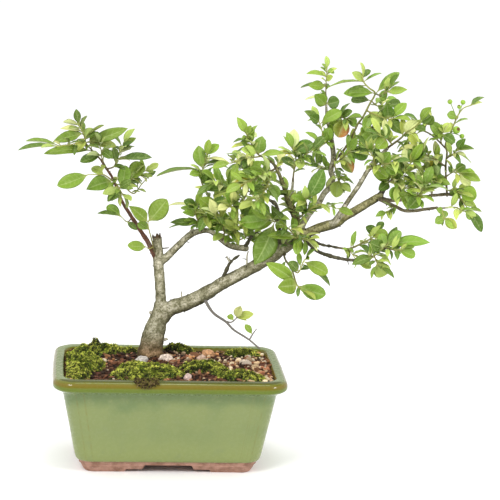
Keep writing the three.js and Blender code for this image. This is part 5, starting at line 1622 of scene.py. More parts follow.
        Leaf(0, 0.5, [208, -24, 311], 12, 0.05), Leaf(0, 0.95, [218, -27, 316], 9, 0.1),
        Leaf(0, 0.95, [195, -28, 317], 6, 0.6), Leaf(0, 0.8, [213, -28, 303], 8, 0.4),
        Leaf(1, 0.55, [172, -30, 287], 12, 0.1),
    ],
    "spray_pale_side": [
        Shoot([[169, -12, 265], [174, -22, 271], [181, -30, 274], [188, -36, 276]], 1, 8, 17),
        Sprig(0, 0.32, [[170, -26, 279], [163, -28, 288]], 0.9, 5, 15),
        Leaf(0, 0.65, [191, -36, 268], 12, 0.1), Leaf(0, 0.5, [184, -32, 283], 12, 0.1),
        Leaf(0, 0.2, [184, -24, 261], 11, 0.2),
    ],
    "spray_stub": [
        Shoot([[184, -8, 250], [187, -14, 256], [193, -20, 261], [199, -26, 270],
            [204, -30, 277]], 1.1, 9, 17),
        Sprig(0, 0.26, [[194, -26, 254], [201, -34, 253]], 0.9, 7, 17),
        Leaf(0, 0.15, [170, -19, 267], 11, 0.15), Leaf(0, 0.2, [177, -20, 249], 9, 0.2),
        Leaf(0, 0.95, [212, -35, 286], 9, 0.3), Leaf(1, 0.5, [188, -31, 243], 11, 0.1),
    ],
    "spray_stub_back": [
        Shoot([[183, -8, 248], [189, 4, 254], [195, 14, 261], [203, 22, 268], [209, 28, 274]], 1, 10, 17),
        Sprig(0, 0.36, [[204, 20, 256], [215, 30, 253]], 0.9, 8, 17), Leaf(0, 0.75, [214, 28, 278], 9, 0.3),
    ],
    "spray_upper": [
        Shoot([[215, 6, 239], [218, 11, 247], [222, 15, 255], [228, 18, 264]], 1, 10, 17),
    ],
    "spray_upper_front": [
        Shoot([[229, 11, 240], [229, 2, 249], [230, -6, 259]], 0.9, 7, 16),
        Leaf(0, 0.5, [235, -6, 261], 9, 0.2),
    ],
    "spray_lower": [
        Shoot([[202, -24, 233], [205, -32, 241], [210, -40, 249], [214, -46, 259]], 1, 9, 17),
        Leaf(0, 0.6, [199, -46, 238], 13, 0.1), Leaf(0, 0.3, [192, -37, 250], 9, 0.2),
    ],
    "spray_lower_left": [
        Shoot([[194, -19, 235], [187, -22, 232], [184, -24, 230]], 0.8, 4, 12),
    ],
    "spray_upright": [
        Shoot([[244, 15, 239], [241, 13, 264], [241, 11, 279], [239, 10, 286], [244, 12, 298],
            [249, 13, 311], [254, 14, 318], [261, 14, 321]], 1.6, 3, 13),
        Sprig(0, 0.18, [[235, 22, 258], [228, 30, 264], [222, 36, 271]], 1, 9, 16),
        Sprig(0, 0.3, [[230, 5, 273], [218, -2, 280], [210, -8, 287]], 1, 9, 16),
        Sprig(0, 0.2, [[247, 8, 262], [252, 3, 262]], 0.8, 3, 13),
        Sprig(0, 0.38, [[245, 6, 278], [249, 2, 283]], 0.8, 4, 13),
        Sprig(0, 0.06, [[249, 8, 246], [253, 2, 244]], 0.8, 3, 14),
        Sprig(0, 0.48, [[228, 7, 293], [217, 3, 299], [200, -3, 303], [189, -7, 311]], 1, 2, 13),
        Sprig(6, 0.1, [[233, 4, 294], [235, 0, 299]], 0.8, 3, 13),
        Sprig(6, 0.46, [[219, -2, 305], [219, -6, 310]], 0.7, 2, 13),
        Sprig(6, 0.58, [[208, 8, 291], [205, 14, 283]], 0.8, 6, 15), Leaf(2, 0.7, [205, -8, 277], 9, 0.2),
        Leaf(3, 1, [270, -1, 256], 9, 0.3), Leaf(3, 0.95, [262, -1, 250], 9, 0.15),
        Leaf(3, 0.7, [258, 11, 268], 9, 0.2), Leaf(4, 1, [260, 6, 286], 6, 0.7),
        Leaf(4, 0.9, [262, -1, 284], 7, 0.7), Leaf(4, 0.7, [263, 8, 271], 6, 0.8),
        Leaf(5, 1, [267, -2, 242], 15, 0.2), Leaf(5, 0.85, [261, 9, 250], 9, 0.3),
        Leaf(0, 1, [271, 16, 324], 5, 0.8), Leaf(0, 0.8, [239, 9, 313], 8, 0.2),
        Leaf(8, 0.5, [224, -5, 313], 9, 0.1), Leaf(7, 0.55, [223, -1, 307], 10, 0.1),
        Leaf(7, 0.85, [241, 5, 306], 9, 0.2), Leaf(7, 0.75, [245, -3, 290], 9, 0.2),
        Berry(0, 0.8, [241, 10, 324], 2.2), Berry(0, 0.85, [254, 17, 323], 2.2),
        Berry(0, 0.85, [249, 8, 320], 1.8), Berry(0, 0.65, [247, 4, 300], 3.4),
        Berry(0, 0.65, [253, 8, 294], 2.2), Berry(3, 1, [260, 0, 265], 2.2),
    ],
    "spray_right_tip": [
        Shoot([[254, 17, 239], [256, 10, 237], [259, 4, 233], [261, 0, 230]], 0.9, 2, 14),
        Leaf(0, 0.2, [269, 4, 232], 8, 0.3), Leaf(0, 0.75, [265, 9, 219], 8, 0.2),
        Leaf(0, 0.95, [274, 5, 228], 6, 0.7), Leaf(0, 0.95, [273, -4, 211], 9, 0.15),
        Leaf(0, 0.35, [246, 15, 245], 9, 0.3),
    ],
    "spray_hanging": [
        Shoot([[226, -32, 236], [241, -35, 238], [244, -40, 238], [248, -43, 236]], 1, 3, 13),
        Sprig(0, 0.18, [[231, -37, 233], [233, -39, 228]], 0.8, 1, 12), Leaf(1, 1, [224, -42, 225], 8, 0.2),
        Leaf(1, 1, [243, -42, 221], 9, 0.05), Leaf(1, 0.1, [235, -28, 227], 8, 0.1),
        Leaf(1, 0.45, [225, -41, 237], 7, 0.3),
    ],
    "spray_lower_right": [
        Shoot([[163, -29, 189], [174, -33, 194], [179, -35, 199], [185, -36, 205]], 1, 6, 15),
        Sprig(0, 0.44, [[176, -38, 188], [179, -41, 185]], 0.8, 3, 14),
        Sprig(0, 0.82, [[189, -42, 201], [197, -46, 202]], 0.8, 4, 14),
        Leaf(0, 1, [195, -40, 217], 10, 0.2), Leaf(0, 1, [221, -41, 208], 11, 0.3, Tone.GREEN),
        Leaf(1, 0.5, [183, -41, 178], 15, 0.05), Leaf(2, 0.75, [207, -48, 197], 9, 0.2),
        Leaf(1, 0.15, [154, -39, 187], 9, 0.3), Leaf(0, 0.8, [169, -41, 207], 12, 0.1),
        Leaf(0, 0.9, [179, -31, 213], 10, 0.1),
    ],
    "spray_lower_back": [
        Shoot([[143, -10, 196], [155, -14, 196], [167, -18, 203], [174, -12, 205],
            [180, -6, 209]], 1.3, 6, 15),
        Sprig(0, 0.24, [[156, -20, 193], [159, -26, 189]], 0.8, 2, 13), Leaf(0, 1, [169, -11, 215], 9, 0.2),
        Leaf(1, 0.9, [172, -30, 182], 9, 0.2), Leaf(0, 0.85, [189, -7, 209], 10, 0.1),
        Leaf(0, 0.8, [177, -19, 195], 11, 0.1),
    ],
    "spray_dead_twig": [
        Shoot([[30, 18, 144], [38, 4, 133], [49, -6, 127], [56, -12, 121], [68, -20, 115],
            [78, -26, 108]], 1.3, 0, 14),
        Sprig(0, 0.46, [[54, -8, 127], [59, -10, 132]], 0.8, 0, 14),
        Sprig(0, 0.84, [[72, -22, 120], [75, -23, 125]], 0.7, 0, 12), Leaf(1, 1, [61, -14, 143], 8, 0.2),
        Leaf(1, 1, [73, -13, 136], 8, 0.2), Leaf(1, 1, [68, -5, 128], 6, 0.5),
        Leaf(1, 0.65, [51, -6, 133], 6, 0.5), Leaf(2, 0.45, [65, -20, 128], 6, 0.4),
    ],
}


@dataclass
class Wood:
    """Trunk, sawn stump, limbs, twigs, thorns and knobs."""

    thick: tuple = (
        "trunk", "leader", "stump", "main", "right", "riser", "middle", "grey", "pale", "right_stub",
    )
    voxel: float = 0.58
    skins: dict = field(default_factory=lambda: {
        "trunk": Skin.FOOT, "left": Skin.RUST, "right": Skin.LICHEN, "pale": Skin.PALE, "grey": Skin.PALE,
        "dark_riser": Skin.DARK, "dark_stub": Skin.DARK, "twig_upper": Skin.BROWN, "twig_lower": Skin.BROWN,
        "lower_right": Skin.DARK, "lower_upper": Skin.DARK, "low_twig": Skin.DARK, "riser": Skin.LICHEN,
        "right_stub": Skin.DARK, "thorn_leader": Skin.DARK,
    })
    stump_top: tuple = (-12.0, 26.0, 197.0)
    sawn: Colour = linear("5c4832")
    # What green algae does to the bark's colour where it is dark, which follows both its mottling and its
    # painted shade
    algae: tuple = (0.9, 0.92, 0.5)

    def skin_of(self, name: str) -> Rows:
        """Gives a branch's bark colour."""
        return np.array(self.skins.get(name, Skin.GREY).value)

    def limbs(self) -> Piece:
        """Builds the thick wood as one skin, grown together where branches meet.

        Returns:
            The trunk, the stump and the limbs.
        """
        draft = Draft()
        heart, colours = [], []
        for name in self.thick:
            rows = smooth_line(BRANCHES[name], 1.6)
            rows[:, 3] *= 1 + grain(rows[:, :3], 9, 11) * 0.09
            points, faces, _ = tube(rows, 24, 0.3 if name == "stump" else 0.6)
            draft.add(points, faces)
            heart.extend(rows)
            colours.extend([self.skin_of(name)] * len(rows))
        piece = draft.build("wood_limbs", [Bark().make()])
        remesh = piece.modifiers.new("grown_together", "REMESH")
        remesh.mode = "VOXEL"
        remesh.voxel_size = self.voxel * MM
        soften = piece.modifiers.new("soften", "SMOOTH")
        soften.factor = 0.6
        soften.iterations = 5
        apply_modifiers(piece)
        self.weather(piece.data, np.array(heart), np.array(colours))
        return piece

    def weather(self, mesh: bpy.types.Mesh, heart: Rows, colours: Rows) -> None:
        """Raises the bark's relief and colours it.

        Args:
            mesh: the limbs' mesh.
            heart: places along the middle of every branch, each with the branch's radius.
            colours: the bark colour at each of them.
        """
        points = (read(mesh, "co") - HOME) / MM
        out = read(mesh, "normal")
        tree = tree_of(heart[:, :3])
        nearest = np.array([tree.find(place)[1] for place in points.tolist()])
        rough = np.clip(heart[nearest, 3] / 8, 0.25, 1.0)
        lumps = grain(points, 4.2, 21, 3)
        warts = np.array([noise.voronoi(place)[0][0] for place in (points / 3.4).tolist()])
        bump = (0.42 * lumps + 0.3 * step_up(warts, 0.36, 0.05)) * rough
        bump = bump + step_up(points[:, 2], 108, 84) * 0.5 * grain(points, 6.5, 23)
        away = np.linalg.norm(points - np.array(self.stump_top), axis=1)
        top = step_up(points[:, 2], 195.2, 197.4) * step_up(away, 7.0, 5.0)
        points = points + out * bump[:, None] - UP * (top * (2.0 + 4.6 * grain(points, 2.2, 25)))[:, None]
        mesh.vertices.foreach_set("co", (points * MM + HOME).ravel())
        climb = (step_up(points[:, 2], 90, 112) * (np.abs(points[:, 0] + 12) < 20))[:, None]
        # The bark's mottling, with painted light on its front and painted shade at its sides and beneath
        shade = self.mottle_and_painted_light(points, out, lumps)[:, None]
        tint = fade(climb, colours[nearest], Skin.GREY.value) * shade
        # Greener where darker, in the mottling and in the painted shade alike
        tint = tint * (np.array(self.algae) + (1 - np.array(self.algae)) * np.clip(shade, 0, 1))
        crown = step_up(away, 7.5, 4.8) * step_up(points[:, 2], 193.5, 196)
        paint(mesh, np.clip(fade(crown[:, None], tint, self.sawn), 0, 1))
        mesh.polygons.foreach_set("use_smooth", [True] * len(mesh.polygons))
        mesh.update()

    def mottle_and_painted_light(self, points: Rows, facing: Rows, lumps: Rows) -> Rows:
        """Says how light the bark is: flaked and speckled, with painted light where it faces front, back and
        up, and painted shade at its sides and beneath.

        Args:
            points: places on the bark.
            facing: the way that each faces.
            lumps: its relief there.

        Returns:
            What its colour is multiplied by.
        """
        patches = step_up(grain(points, 7.5, 26, 3), -0.3, 0.28)
        flakes = step_up(grain(points, 2.6, 27, 3), -0.1, 0.4)
        specks = step_up(grain(points, 1.2, 28, 2), 0.0, 0.35)
        # Painted light: lighter where the bark faces front, back and up, darker at its sides
        toward = np.abs(facing[:, 1]) * 0.94 + 0.34 * facing[:, 2]
        painted_front_light = np.clip(toward * 1.25 - 0.25, 0, 1) ** 1.3
        # Painted shade: darker where the bark faces down
        under = 1 - 0.45 * step_up(facing[:, 2], -0.05, -0.6)
        light = 0.27 + painted_front_light * (0.26 + 0.5 * patches + 0.36 * flakes) + 0.22 * lumps
        return light * (1 - 0.45 * specks) * under

    def twigs(self) -> Piece:
        """Builds the thin branches, and the buds and short thorns of all.

        Returns:
            One piece that holds them all.
        """
        draft = Draft()
        draws = np.random.default_rng(7)
        for number, (name, places) in enumerate(BRANCHES.items()):
            if name in self.thick:
                continue
            rows = smooth_line(places, 0.9)
            knotty = 0.4 if self.skins.get(name) is Skin.DARK else 0.16
            rows[:, 3] *= 1 + knotty * grain(rows[:, :3], 3.2, number)
            rows[:, :3] += 0.25 * np.column_stack([grain(rows[:, :3], 6, number + s, 1) for s in (1, 2, 3)])
            points, faces, _ = tube(rows, 10)
            specks = step_up(grain(points, 1.3, number + 3, 1), 0.05, 0.4)
            shade = (1 + 0.3 * grain(points, 3, number)) * (1 - 0.5 * specks)
            draft.add(points, faces, np.clip(self.skin_of(name) * shade[:, None], 0, 1))
        for places in BRANCHES.values():
            self.scars(draft, smooth_line(places, 1.0), draws)
        return draft.build("wood_twigs", [Bark().make()])

    def scars(self, draft: Draft, rows: Rows, draws: Draw) -> None:
        """Adds buds and a few short thorns to one branch.

        Args:
            draft: the mesh to add to.
            rows: the branch's smooth line.
            draws: the seeded draws.
        """
        gone = 0.0
        next_bud = draws.uniform(5, 12)
        for before, here in zip(rows[:-1], rows[1:]):
            gone += float(np.linalg.norm(here[:3] - before[:3]))
            if gone < next_bud or here[2] < 92:
                continue
            next_bud = gone + draws.uniform(7, 15)
            way = unit(here[:3] - before[:3])
            side = unit(np.cross(way, draws.normal(0, 1, 3)))
            radius = here[3]
            thorn = draws.random() < 0.22 and radius < 5
            tall = draws.uniform(2.4, 4.6) if thorn else draws.uniform(0.7, 1.3)
            wide = 0.5 if thorn else draws.uniform(0.6, 1.0) * min(1.0, 0.4 + radius / 4)
            lean = unit(side + way * 0.45)
            root = here[:3] + side * (radius - 0.5)
            reach = ((0, 1), (0.5 + tall * 0.5, 0.7), (0.5 + tall, 0.25))
            spike = np.array([[*(root + lean * far), wide * narrow] for far, narrow in reach])
            points, faces, _ = tube(spike, 6)
            draft.add(points, faces, np.array(Skin.DARK.value) * draws.uniform(0.8, 1.3))

    def build(self) -> None:
        """Builds the wood and hands it over."""
        hand_over(self.limbs(), "bark", "wood")
        hand_over(self.twigs(), "bark", "wood")


MASK = 0xFFFFFFFF


class Draws:
    """The seeded draws that place the leaves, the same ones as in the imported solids."""

    def __init__(self, seed: int) -> None:
        """Starts the draws from this seed."""
        self.state = seed & MASK

    def next(self) -> float:
        """Works out the next draw.

        Returns:
            A value from 0 to 1.
        """
        self.state = (self.state + 0x6D2B79F5) & MASK
        mixed = self.state
        mixed = ((mixed ^ (mixed >> 15)) * (mixed | 1)) & MASK
        mixed ^= (mixed + (((mixed ^ (mixed >> 7)) * (mixed | 61)) & MASK)) & MASK
        return (mixed ^ (mixed >> 14)) / 4294967296


def along_line(points: Sequence[Sequence[float]], share: float, sink: float = 1.2) -> tuple[Rows, Rows]:
    """Finds a place along a bent line.

    Args:
        points: the line's places.
        share: how far along it, from 0 to 1.
        sink: how far short of its tip the last place lies.

    Returns:
        The place, and the line's way there.
    """
    places = np.asarray(points, dtype=float)
    lengths = np.linalg.norm(np.diff(places, axis=0), axis=1)
    left = share * lengths.sum()
    i = 0
    while i < len(lengths) - 1 and left > lengths[i]:
        left -= lengths[i]
        i += 1
    way = unit(places[i + 1] - places[i])
    run = min(left, lengths[i] - (sink if i == len(lengths) - 1 else 0))
    return places[i] + way * run, way


@dataclass
class Spray:
    """One spray: its shoots, their leaves and berries."""

    name: str
    number: int
    parts: list
    draws: Draw = field(init=False)
    tree: KDTree = field(init=False)
    draft: Draft = field(default_factory=Draft)
    leaves: int = 0
    # How many rows and columns of faces a large and a small leaf have, and how wide a small one is
    grid: tuple = (10, 6)
    small_grid: tuple = (8, 4)
    small_width: float = 6.0
    arch: float = 0.08
    # How much of a leaf's length is its stalk
    stalk: float = 0.1
    petiole: Colour = linear("a5a862")
    blush: Colour = linear("c07040")
    young: Colour = linear("a9b060")
    # How the blade narrows to its stalk and to its tip: 1 runs straight, less than 1 is rounder
    wedges: tuple = (0.72, 1.05)
    blunts: tuple = (0.58, 1.1)
    # Leaves wider than this share of their length are rounder by this factor
    wide: float = 0.55
    round: float = 0.72
    slender: float = 0.37
    more: float = 1.45
    crowded: tuple = ("spray_centre_front", "spray_riser_side", "spray_mid_tall", "spray_centre_left")
    droop: float = 0.34
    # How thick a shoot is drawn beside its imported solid
    lean_stem: float = 0.82
    golden_angle: float = 137.5
    # How light the leaves are in the crown and, second, on the left branch, whose leaves are darker as
    # painted shade
    light: tuple = (1.05, 0.86)
    # Small leaves that spring from the old wood beside a spray: where along it, and how many
    veils: dict = field(default_factory=lambda: {
        "spray_riser_top": Shoot(
            [[113, -1, 209], [107, -4, 224], [101, -7, 237], [97, -9, 248]], 0.9, 13, 19,
        ),
        "spray_centre_fold": Shoot([[90, 4, 188], [99, 2, 195], [108, 0, 202]], 0.9, 5, 18),
    })
    # What a leaf's tip tries in turn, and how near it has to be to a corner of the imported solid
    near: float = 0.15
    shifts: tuple = (
        (0, 0, 0), (0, 4, 1), (0, -4, 1), (0, 8, 2), (0, -8, 2), (3, 12, 0), (-3, -12, 0), (4, 0, 7),
        (-4, 0, -7),
    )

    def __post_init__(self) -> None:
        """Starts the spray's own seeded draws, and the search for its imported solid's corners."""
        self.draws = np.random.default_rng(500 + self.number)
        self.tree = tree_of((read(frame["nodes"][self.name].data, "co") - HOME) / MM)

    def shoots(self) -> list[Shoot]:
        """Finds where the shoots run.

        Returns:
            Each shoot and each sprig, these with their roots found on their parents.
        """
        made = []
        for part in self.parts:
            if isinstance(part, Sprig):
                root, _ = along_line(made[part.parent].points, part.share)
                made.append(Shoot([root.tolist(), *part.points], part.radius, part.leaves, part.leaf_length))
            elif isinstance(part, Shoot):
                made.append(part)
        return made

    def shifted(self, tip: Sequence[float]) -> Union[Rows, None]:
        """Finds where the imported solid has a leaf's tip.

        Args:
            tip: its first place.

        Returns:
            Its place there, or None where the solid lacks the leaf.
        """
        for shift in self.shifts:
            moved = np.array(tip, dtype=float) + np.array(shift)
            if self.tree.find(moved)[2] < self.near:
                return moved
        return None

    def ruled(self, shoot: Shoot, seed: int) -> list[tuple]:
        """Lists the leaves that a shoot bears by rule.

        Args:
            shoot: the shoot.
            seed: starts its draws.

        Returns:
            Rows of base, tip, width and lie.
        """
        draws = Draws(seed)
        made = []
        for i in range(shoot.leaves):
            a, b, c, d = (draws.next() for _ in range(4))
            place, way = along_line(shoot.points, 0.22 + 0.78 * (i + 1) / shoot.leaves)
            side = unit(UP - way * way[2])
            across = np.cross(way, side)
            turn = math.radians(i * self.golden_angle + 50 * (c - 0.5))
            spread = math.radians(12 if i == shoot.leaves - 1 else 48 + 24 * b)
            outward = side * math.cos(turn) + across * math.sin(turn)
            heading = unit(way * math.cos(spread) + outward * math.sin(spread) + UP * 0.12)
            length = shoot.leaf_length * (0.85 + 0.35 * a)
            made.append((place, place + heading * length, length * 0.46, 0.1 + 0.75 * d))
        return made

    def fill_out(self, shoot: Shoot, height: float) -> None:
        """Adds small leaves that fill a shoot out, close to its stem.

        Args:
            shoot: the shoot.
            height: 1 where leaves come younger and paler.
        """
        draws = self.draws
        made = []
        more = self.more * (1.6 if self.name in self.crowded else 1.0)
        for _ in range(math.ceil(shoot.leaves * more)):
            place, way = along_line(shoot.points, draws.uniform(0.12, 1.0))
            outward = draws.normal(0, 1, 3) * [1, 1, 0.6]
            heading = unit(way * draws.uniform(0.3, 1.0) + unit(outward - way * float(outward @ way)) * 0.8)
            length = shoot.leaf_length * draws.uniform(0.5, 0.9)
            made.append((place, place + heading * length, draws.uniform(0.3, 1.15)))
        for base, tip, lie in made:
            self.small_blade(base, tip, lie, self.tone_of(height))

    def skin(self, rows: int, columns: int) -> Faces:
        """Numbers the faces of a blade, whose lower side shares its edges with the upper one.

        Args:
            rows: how many rows of corners it has.
            columns: how many faces lie across it.

        Returns:
            The faces of both sides and both ends.
        """
        above = np.arange(rows * (columns + 1)).reshape(rows, -1)
        beneath = above.copy()
        beneath[:, 1:-1] = above.size + np.arange(rows * (columns - 1)).reshape(rows, -1)
        faces = []
        for grid, turned in ((above, False), (beneath, True)):
            ring = [grid[:-1, :-1], grid[:-1, 1:], grid[1:, 1:], grid[1:, :-1]]
            faces.extend(np.stack(ring[::-1] if turned else ring, axis=-1).reshape(-1, 4).tolist())
        for i in (0, -1):
            ring = [*above[i].tolist(), *beneath[i, -2:0:-1].tolist()]
            faces.append(ring[::-1] if i == 0 else ring)
        return faces

    def tints(self, tone: Tone, t: Rows, s: Rows) -> list[Rows]:
        """Draws a blade's colours.

        Args:
            tone: its kind.
            t: how far along the blade each place lies, from 0 to 1.
            s: how far across it, from -1 to 1.

        Returns:
            The colours of the upper and of the lower side.
        """
        # The left branch's leaves are darker: painted shade
        bright = self.draws.uniform(0.82, 1.18) * self.light[self.name.startswith("spray_left")]
        warm = self.draws.uniform(-0.06, 0.1)
        green = step_up(t, 0.06, 0.2)[..., None]
        petiole = np.array(self.petiole)
        made = []
        for colour in tone.value:
            colour = np.array(colour) * bright * [1 + warm, 1, 1 - warm]
            made.append(petiole + (colour * (0.88 + 0.2 * t)[..., None] - petiole) * green)
        if tone is Tone.RED:
            blush = (step_up(t, 0.2, 0.6) * step_up(s, 0.5, -0.7))[..., None] * 0.8
            made[0] = fade(blush, made[0], self.blush)
        return made

    def blade(self, base: Rows, tip: Rows, width: float, lie: float, tone: Tone, droop: float = 0.06) -> None:
        """Adds one leaf: stalk, arched and folded blade, waved edge and rounded tip.

        Args:
            base: where its stalk springs.
            tip: its tip.
            width: its width in millimetres.
            lie: 0 faces the front, 1 the sky.
            tone: its colours.
            droop: how far its tip bends back at most, as a share of its length.
        """
        draws = self.draws
        length = float(np.linalg.norm(tip - base))
        along = unit(tip - base)
        face = FRONT * (1 - lie) + UP * lie
        face = unit(face - along * float(face @ along))
        side = np.cross(along, face)
        stalk = self.stalk
        count, columns = self.small_grid if width < self.small_width else self.grid
        steps = np.sin(np.linspace(0.02, 1, count) * math.pi / 2)
        t = np.concatenate([[0.0, stalk * 0.6], stalk + (1 - stalk) * steps])
        rounder = self.round if width > self.wide * length else 1.0
        wedge, blunt = draws.uniform(*self.wedges) * rounder, draws.uniform(*self.blunts) * rounder
        leafy = np.clip((t - stalk) / (1 - stalk), 0, 1)
        peak = wedge / (wedge + blunt)
        outline = leafy ** wedge * (1 - leafy) ** blunt / (peak ** wedge * (1 - peak) ** blunt)
        half = np.maximum(outline * width / 2, 0.38 * (t < stalk + 0.03) + 0.02)[:, None]
        fold = draws.uniform(0.25, 0.85)
        curl = draws.uniform(-0.02, 1.0) * droop
        wave, phase = draws.uniform(0.1, 0.3), draws.uniform(0, 6.28)
        tt, ss = np.meshgrid(t, np.linspace(-1, 1, columns + 1), indexing="ij")
        lift = self.arch * length * np.sin(math.pi * np.clip(tt, 0, 1)) ** 0.8
        lift = lift + fold * half * (np.abs(ss) - 0.55) - curl * length * tt ** 3
        waves = np.sin(tt * 17 + phase + ss) * ss * np.abs(ss)
        lift = lift + wave * waves * np.minimum(1, half / 3)
        lean = draws.uniform(-0.05, 0.05) * length * np.sin(math.pi * tt)
        run, out = (tt * length)[..., None], (ss * half + lean)[..., None]
        top = base + along * run + side * out + face * lift[..., None]
        thick = 0.55 * (1 - 0.75 * ss ** 2) * (1 - 0.5 * tt)
        low = top - face * thick[..., None]
        over, below = self.tints(tone, tt, ss)
        places = np.dstack([ss, tt])
        corners, tints, places = (
            np.vstack([upper.reshape(-1, upper.shape[2]), lower[:, 1:-1].reshape(-1, upper.shape[2])])
            for upper, lower in ((top, low), (over, below), (places, places))
        )
        self.draft.add(corners, self.skin(len(t), columns), np.clip(tints, 0, 1), places)
        self.leaves += 1

    def small_blade(self, base: Rows, tip: Rows, lie: float, tone: Tone) -> None:
        """Adds a slender leaf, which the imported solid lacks."""
        width = float(np.linalg.norm(tip - base)) * self.slender
        self.blade(base, tip, width, lie, tone, self.droop)

    def tone_of(self, height: float) -> Tone:
        """Draws a leaf's colours.

        Args:
            height: 1 where leaves come younger and paler.

        Returns:
            The kind of leaf.
        """
        draw = self.draws.random()
        for tone, share in (
            (Tone.YELLOW, 0.02 * (1 - height)), (Tone.YOUNG, 0.3 * height),
            (Tone.PALE, 0.09), (Tone.DARK, 0.25),
        ):
            if draw < share:
                return tone
            draw -= share
        return Tone.GREEN

    def stem(self, shoot: Shoot, index: int) -> None:
        """Adds one shoot as a thin bark tube.

        Args:
            shoot: the shoot.
            index: its number in the spray.
        """
        last = len(shoot.points) - 1
        thick = shoot.radius * self.lean_stem * (0.75 if shoot.radius > 1.5 else 1)
        rows = [[*place, thick * (1 - 0.45 * k / last)] for k, place in enumerate(shoot.points)]
        rows = smooth_line(rows, 1.4)
        old = np.array((Skin.TWIG if index % 2 == 0 else Skin.STALK).value)
        young = 0.2 * old + 0.8 * np.array(self.young)
        if self.name == "spray_dead_twig":
            old = young = np.array(Skin.DEAD.value)
            rows[:, 3] *= 1.35
        rows[:, 3] *= 1 + 0.14 * grain(rows[:, :3], 2.6, self.number)
        points, faces, share = tube(rows, 8)
        tint = fade(share[:, None], old, young) * self.draws.uniform(0.85, 1.15)
        self.draft.add(points, faces, tint, finish=1)

    def berry(self, part: Berry, place: Rows) -> None:
        """Adds a green berry on its stalk, with its brown end.

        Args:
            part: its data.
            place: where its stalk springs.
        """
        centre = np.array(part.centre, dtype=float)
        way = unit(centre - place)
        rows = smooth_line([[*place, 0.42], [*((place + centre) / 2 + UP * 0.3), 0.36], [*centre, 0.4]], 0.8)
        points, faces, _ = tube(rows, 6)
        self.draft.add(points, faces, linear("7f9a45"), finish=1)
        ball, faces = ico(4)
        reach = ball @ way
        shape = ball * (1 - 0.1 * step_up(reach, 0.82, 1.0))[:, None] * part.radius
        tint = fade(step_up(reach, 0.8, 0.94)[:, None], linear("8fb040"), linear("5b3d24"))
        self.draft.add(centre + shape, faces, tint, finish=1)

    def bear(self, shoot: Shoot, index: int) -> None:
        """Adds one shoot with the leaves that it bears by rule and those that fill it out.

        Args:
            shoot: the shoot.
            index: its number in the spray.
        """
        self.stem(shoot, index)
        for base, tip, width, lie in self.ruled(shoot, 1000 * (self.number + 1) + 17 * index):
            moved = self.shifted(tip)
            tone = self.tone_of(1.0)
            if moved is None:
                self.small_blade(base, tip, 0.35 + 0.7 * self.draws.random(), tone)
            else:
                self.blade(base, moved, width, lie, tone)
        self.fill_out(shoot, 0.6)

    def build(self, finishes: Sequence[Material]) -> int:
        """Builds the spray and hands it over.

        Args:
            finishes: the leaf's and the shoot's materials.

        Returns:
            How many leaves it bears.
        """
        shoots = self.shoots()
        for index, shoot in enumerate(shoots):
            self.bear(shoot, index)
        if self.name in self.veils:
            self.fill_out(self.veils[self.name], 0.4)
        for part in self.parts:
            if not isinstance(part, (Leaf, Berry)):
                continue
            base, _ = along_line(shoots[part.shoot].points, part.share)
            if isinstance(part, Berry):
                self.berry(part, base)
            elif (tip := self.shifted(part.tip)) is not None:
                self.blade(base, tip, part.width, part.lie, part.tone or self.tone_of(0.6))
            else:
                log.info("%s: a leaf at %s is not in the packed solid", self.name, part.tip)
        hand_over(self.draft.build(self.name + "_fine", finishes), "leaf", self.name)
        return self.leaves


@dataclass
class Screens:
    """The two drain screens, which keep their packed form."""

    names: tuple = ("drain_screen_1", "drain_screen_2")

    def dress(self) -> None:
        """Gives each screen its plastic."""
        finish = Screen().make()
        for name in self.names:
            mesh = frame["nodes"][name].data
            mesh.materials.clear()
            mesh.materials.append(finish)
            log.info("%s: dressed", name)


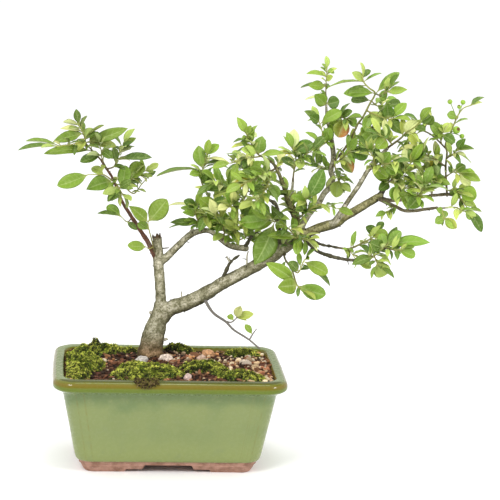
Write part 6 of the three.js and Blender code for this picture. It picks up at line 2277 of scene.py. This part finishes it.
@dataclass
class Studio:
    """The pale floor, the white room, the lamps and the camera."""

    # The camera's place in millimetres from the pot's middle, its angles in degrees, and its lens
    eye: tuple = (-86.5, -1713.6, 530.4)
    yaw: float = 5.18
    pitch: float = 11.18
    roll: float = 2.03
    lens: float = 144.0
    sensor: float = 36.0
    floor_size: float = 12.0
    # The room's glow: from where to where along Y and Z together, and how strong it is there
    glow: tuple = (-1.0, 0.1, 0.45, 1.12)

    def camera(self) -> None:
        """Places the camera where the photograph was taken from."""
        yaw, pitch, roll = (math.radians(a) for a in (self.yaw, self.pitch, self.roll))
        ahead = np.array([math.sin(yaw) * math.cos(pitch), math.cos(yaw) * math.cos(pitch), -math.sin(pitch)])
        right = np.array([math.cos(yaw), -math.sin(yaw), 0.0])
        up = np.cross(right, ahead)
        right, up = right * math.cos(roll) + up * math.sin(roll), up * math.cos(roll) - right * math.sin(roll)
        data = bpy.data.cameras.new("camera")
        data.lens = self.lens
        data.sensor_width = self.sensor
        data.clip_end = 50
        made = linked("camera", data)
        turn = Matrix([[right[i], up[i], -ahead[i]] for i in range(3)]).to_4x4()
        made.matrix_world = Matrix.Translation(Vector(np.array(self.eye) * MM + HOME)) @ turn
        bpy.context.scene.camera = made

    def floor(self) -> None:
        """Lays the pale floor."""
        half = self.floor_size / 2
        mesh = bpy.data.meshes.new("floor")
        corners = [(-half, -half, 0), (half, -half, 0), (half, half, 0), (-half, half, 0)]
        mesh.from_pydata(corners, [], [(0, 1, 2, 3)])
        mesh.materials.append(Recipe("floor_paper").done((0.96, 0.96, 0.96), 0.95, 0.05))
        linked("floor", mesh)

    def lamp(self, name: str, place: tuple, size: float, power: float) -> None:
        """Adds one soft lamp that looks at the tree.

        Args:
            name: its name.
            place: where it hangs, in metres.
            size: the side of its square face, in metres.
            power: in watts.
        """
        data = bpy.data.lights.new(name, "AREA")
        data.size = size
        data.energy = power
        made = linked(name, data)
        made.location = place
        made.rotation_euler = (Vector((0, 0, 0.18)) - Vector(place)).to_track_quat("-Z", "Y").to_euler()

    def room(self) -> bpy.types.World:
        """Makes the white room: bright behind and above the tree, dimmer low on the camera's side.

        Returns:
            The room.
        """
        r = Recipe(bpy.data.worlds.new("white_room"))
        way = r.node("TexCoord", out="Generated")
        y, z = (r.node("SeparateXYZ", {0: way}, out=axis) for axis in "YZ")
        glow = dict(zip(("From Min", "From Max", "To Min", "To Max"), self.glow))
        strength = r.node("MapRange", {"Value": r.sums("ADD", y, z), **glow})
        r.feed("Background", {"Color": (1, 1, 1), "Strength": strength})
        return r.owner

    def build(self) -> None:
        """Builds the studio."""
        scene = bpy.context.scene
        scene.world = self.room()
        scene.view_settings.view_transform = "Standard"
        self.floor()
        self.lamp("key", (-0.9, -1.3, 1.4), 0.6, 17)
        self.lamp("fill", (1.3, -1.1, 1.1), 0.4, 11)
        self.lamp("top", (0.1, 0.1, 1.9), 0.6, 7)
        self.camera()


def main() -> None:
    """Builds the studio and the tree, piece by piece."""
    logging.basicConfig(level=logging.INFO, format="%(name)s: %(message)s")
    soil = Soil()
    Studio().build()
    Pot().build()
    Screens().dress()
    soil.build()
    Stones(soil).build()
    Moss(soil).build()
    Wood().build()
    finishes = [LeafSkin().make(), Tinted("shoot_bark", 1.0, 0.3, 0.7, 0.15).make()]
    leaves = sum(Spray(name, i, parts).build(finishes) for i, (name, parts) in enumerate(SPRAYS.items()))
    log.info("the tree bears %d leaves", leaves)


if __name__ == "__main__":
    main()
